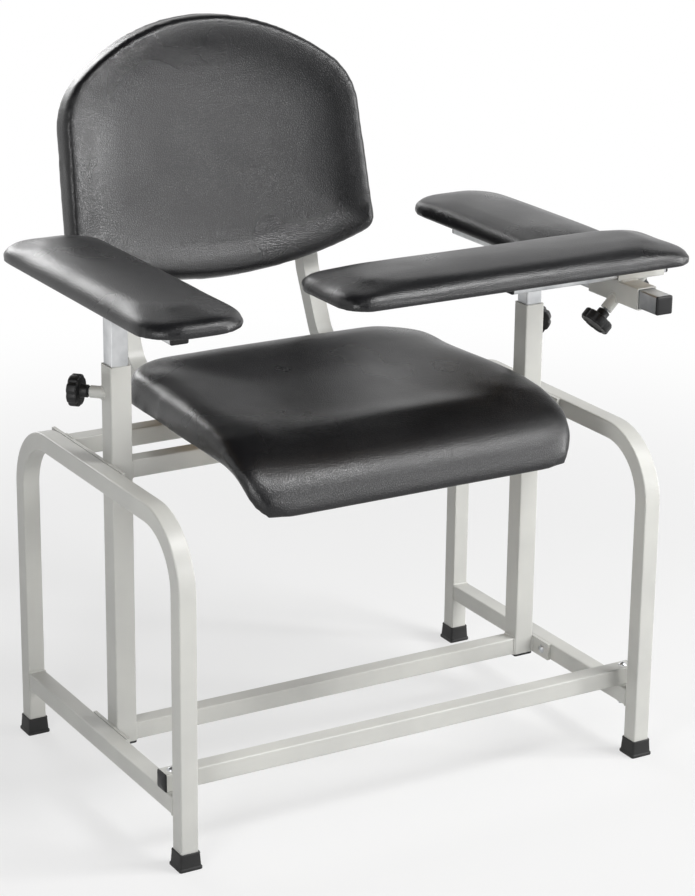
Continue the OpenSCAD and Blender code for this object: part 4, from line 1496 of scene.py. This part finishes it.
@dataclass
class Studio:
    """White floor and backdrop, softboxes, black flags and the photograph's camera."""

    focal_mm: float = 107.1
    camera_at: Point = (-1.7307, -3.0508, 1.6003)
    yaw: float = -30.36
    pitch: float = -18.6
    roll: float = 0.66
    sight_m: float = 100
    floor_m: float = 30.0
    floor_drop_mm: float = 0.4
    floor_grey: str = "d4d4d4"
    fade_from: float = 0.9
    fade_to: float = 2.2
    least_white: float = 0.62
    fill_light: float = 0.24
    cloth_black: str = "101010"
    cloth_roughness: float = 0.95
    aim: Point = (0.0, 0.0, 0.45)
    softboxes: tuple[Panel, ...] = (
        Panel("side softbox", (2.9, -1.7, 1.25), (0.45, 2.0), 74),
        Panel("front softbox", (1.7, -3.5, 1.5), (1.2, 0.5), 29),
        Panel("left softbox", (-1.7, -1.3, 1.0), (0.6, 1.2), 18),
        Panel("high softbox", (1.4, -1.6, 3.0), (0.9, 0.9), 68),
        Panel("rear softbox", (-0.2, 3.4, 1.9), (1.4, 1.6), 45),
    )
    flags: tuple[Panel, ...] = (
        Panel("top_flag", (0.0, 0.2, 3.2), (6.0, 4.6)),
        Panel("camera_flag", (-2.6, -5.4, 1.9), (5.5, 3.6)),
    )

    def build(self) -> None:
        """Makes the whole studio."""
        bpy.context.scene.view_settings.view_transform = "Standard"
        self.camera()
        self.floor()
        self.world()
        for panel in self.softboxes:
            self.lamp(panel)
        for panel in self.flags:
            self.flag(panel)

    def camera(self) -> None:
        """Sets the camera at the photograph's place, tilt and roll."""
        yaw, pitch, roll = (math.radians(a) for a in (self.yaw, self.pitch, self.roll))
        ahead = Vector((-math.sin(yaw) * math.cos(pitch), math.cos(yaw) * math.cos(pitch), math.sin(pitch)))
        level = Vector((math.cos(yaw), math.sin(yaw), 0))
        rise = level.cross(ahead)
        right = level * math.cos(roll) + rise * math.sin(roll)
        up = rise * math.cos(roll) - level * math.sin(roll)
        data = bpy.data.cameras.new("photo_camera")
        data.lens = self.focal_mm
        data.clip_end = self.sight_m
        camera = linked("photo_camera", data)
        turn = Matrix((right, up, -ahead)).transposed().to_4x4()
        camera.matrix_world = Matrix.Translation(self.camera_at) @ turn
        bpy.context.scene.camera = camera

    def seen(self, tree: bpy.types.NodeTree) -> bpy.types.Node:
        """One for camera, glossy and transmission rays, and zero for the rays that light things.

        Args:
            tree: The node tree.

        Returns:
            The node whose output it is.
        """
        rays = add_node(tree, "LightPath").outputs
        most = {"operation": "MAXIMUM"}
        shiny = add_node(tree, "Math", most, i0=rays["Is Glossy Ray"], i1=rays["Is Transmission Ray"])
        return add_node(tree, "Math", most, i0=rays["Is Camera Ray"], i1=shiny)

    def floor(self) -> None:
        """Lays a white floor that keeps the chair's shadow and fades into the backdrop."""
        half, drop = self.floor_m / 2, -self.floor_drop_mm * MM
        made = bpy.data.materials.new("white_studio_floor")
        tree = cleared(made)
        place = add_node(tree, "TexCoord").outputs["Object"]
        reach = add_node(tree, "VectorMath", {"operation": "LENGTH"}, i0=place).outputs["Value"]
        fade = add_node(
            tree,
            "MapRange",
            {"interpolation_type": "SMOOTHSTEP"},
            Value=reach,
            From_Min=self.fade_from,
            From_Max=self.fade_to,
            To_Min=self.least_white,
        )
        amount = add_node(tree, "Math", {"operation": "MULTIPLY"}, i0=fade, i1=self.seen(tree))
        matt = add_node(tree, "BsdfDiffuse", Color=linear(self.floor_grey))
        white = add_node(tree, "Emission", Color=(1, 1, 1, 1), Strength=1.0)
        mix = add_node(tree, "MixShader", Fac=amount, i1=matt, i2=white)
        add_node(tree, "OutputMaterial", Surface=mix)
        self.sheet("floor", half, half, Matrix.Translation((0, 0, drop)), made)

    @staticmethod
    def sheet(name: str, w: float, h: float, place: Matrix, made: bpy.types.Material) -> bpy.types.Object:
        """Lays one flat rectangle, which isn't part of the chair.

        Args:
            name: Its name.
            w: Half its width, in metres.
            h: Half its height, in metres.
            place: Its place.
            made: Its material.

        Returns:
            The rectangle.
        """
        points = [place @ Vector(p) for p in ((-w, -h, 0), (w, -h, 0), (w, h, 0), (-w, h, 0))]
        piece = new_object(name, points, [(0, 1, 2, 3)])
        piece.data.shade_flat()
        piece.data.materials.append(made)
        return piece

    def world(self) -> None:
        """Fills the shadows, and shows white behind the chair and in its shiny parts."""
        world = bpy.data.worlds.new("studio")
        tree = cleared(world)
        soft = add_node(tree, "Background", Color=(1, 1, 1, 1), Strength=self.fill_light)
        white = add_node(tree, "Background", Color=(1, 1, 1, 1), Strength=1.0)
        mix = add_node(tree, "MixShader", Fac=self.seen(tree), i1=soft, i2=white)
        add_node(tree, "OutputWorld", Surface=mix)
        bpy.context.scene.world = world

    def lamp(self, panel: Panel) -> None:
        """Adds one softbox that looks at the chair.

        Args:
            panel: The softbox.
        """
        data = bpy.data.lights.new(panel.name, "AREA")
        data.shape = "RECTANGLE"
        data.size, data.size_y = panel.size
        data.energy = panel.watts
        lamp = linked(panel.name, data)
        lamp.matrix_world = self.facing(panel.at)
        lamp.visible_camera = False

    def flag(self, panel: Panel) -> None:
        """Adds one black cloth panel that darkens what the chair's glossy parts see there.

        Args:
            panel: The flag.
        """
        made = bpy.data.materials.get("black_cloth") or bpy.data.materials.new("black_cloth")
        made.use_nodes = True
        shader = made.node_tree.nodes["Principled BSDF"]
        feed(shader, Base_Color=linear(self.cloth_black), Roughness=self.cloth_roughness)
        w, h = panel.size
        self.sheet(panel.name, w / 2, h / 2, self.facing(panel.at), made).visible_camera = False

    def facing(self, at: Point) -> Matrix:
        """A place at a point, with -Z towards the chair's middle and X level.

        Args:
            at: The point.

        Returns:
            The place as a matrix.
        """
        z = (Vector(at) - Vector(self.aim)).normalized()
        x = UP.cross(z).normalized()
        return Matrix.Translation(at) @ Matrix((x, z.cross(x), z)).transposed().to_4x4()


def main() -> None:
    """Builds the chair's looks in order and reports each piece."""
    logging.basicConfig(level=logging.INFO, format="%(name)s: %(message)s")
    Studio().build()
    LOG.info("dressed %d nodes", len(BareParts().build()))
    plates = tuple(f"{side}_{level}_plate" for level in ("upper", "lower") for side in ("right", "left"))
    tubes = ("right_back_tube", "left_back_tube")
    steel = (SoftenedSteel(plates, edge_mm=0.8), SoftenedSteel(tubes, edge_mm=2.0))
    for builder in (*steel, ClampKnobs(), TubePlugs(), RubberFeet(), WeldBeads()):
        for piece in builder.build():
            LOG.info("%s", piece.name)
    for cushion in (Seat(), Backrest(), ArmPad("right"), ArmPad("left"), ArmPad("front")):
        piece = cushion.build()
        LOG.info("%s: %d points", piece.name, len(piece.data.vertices))


if __name__ == "__main__":
    main()
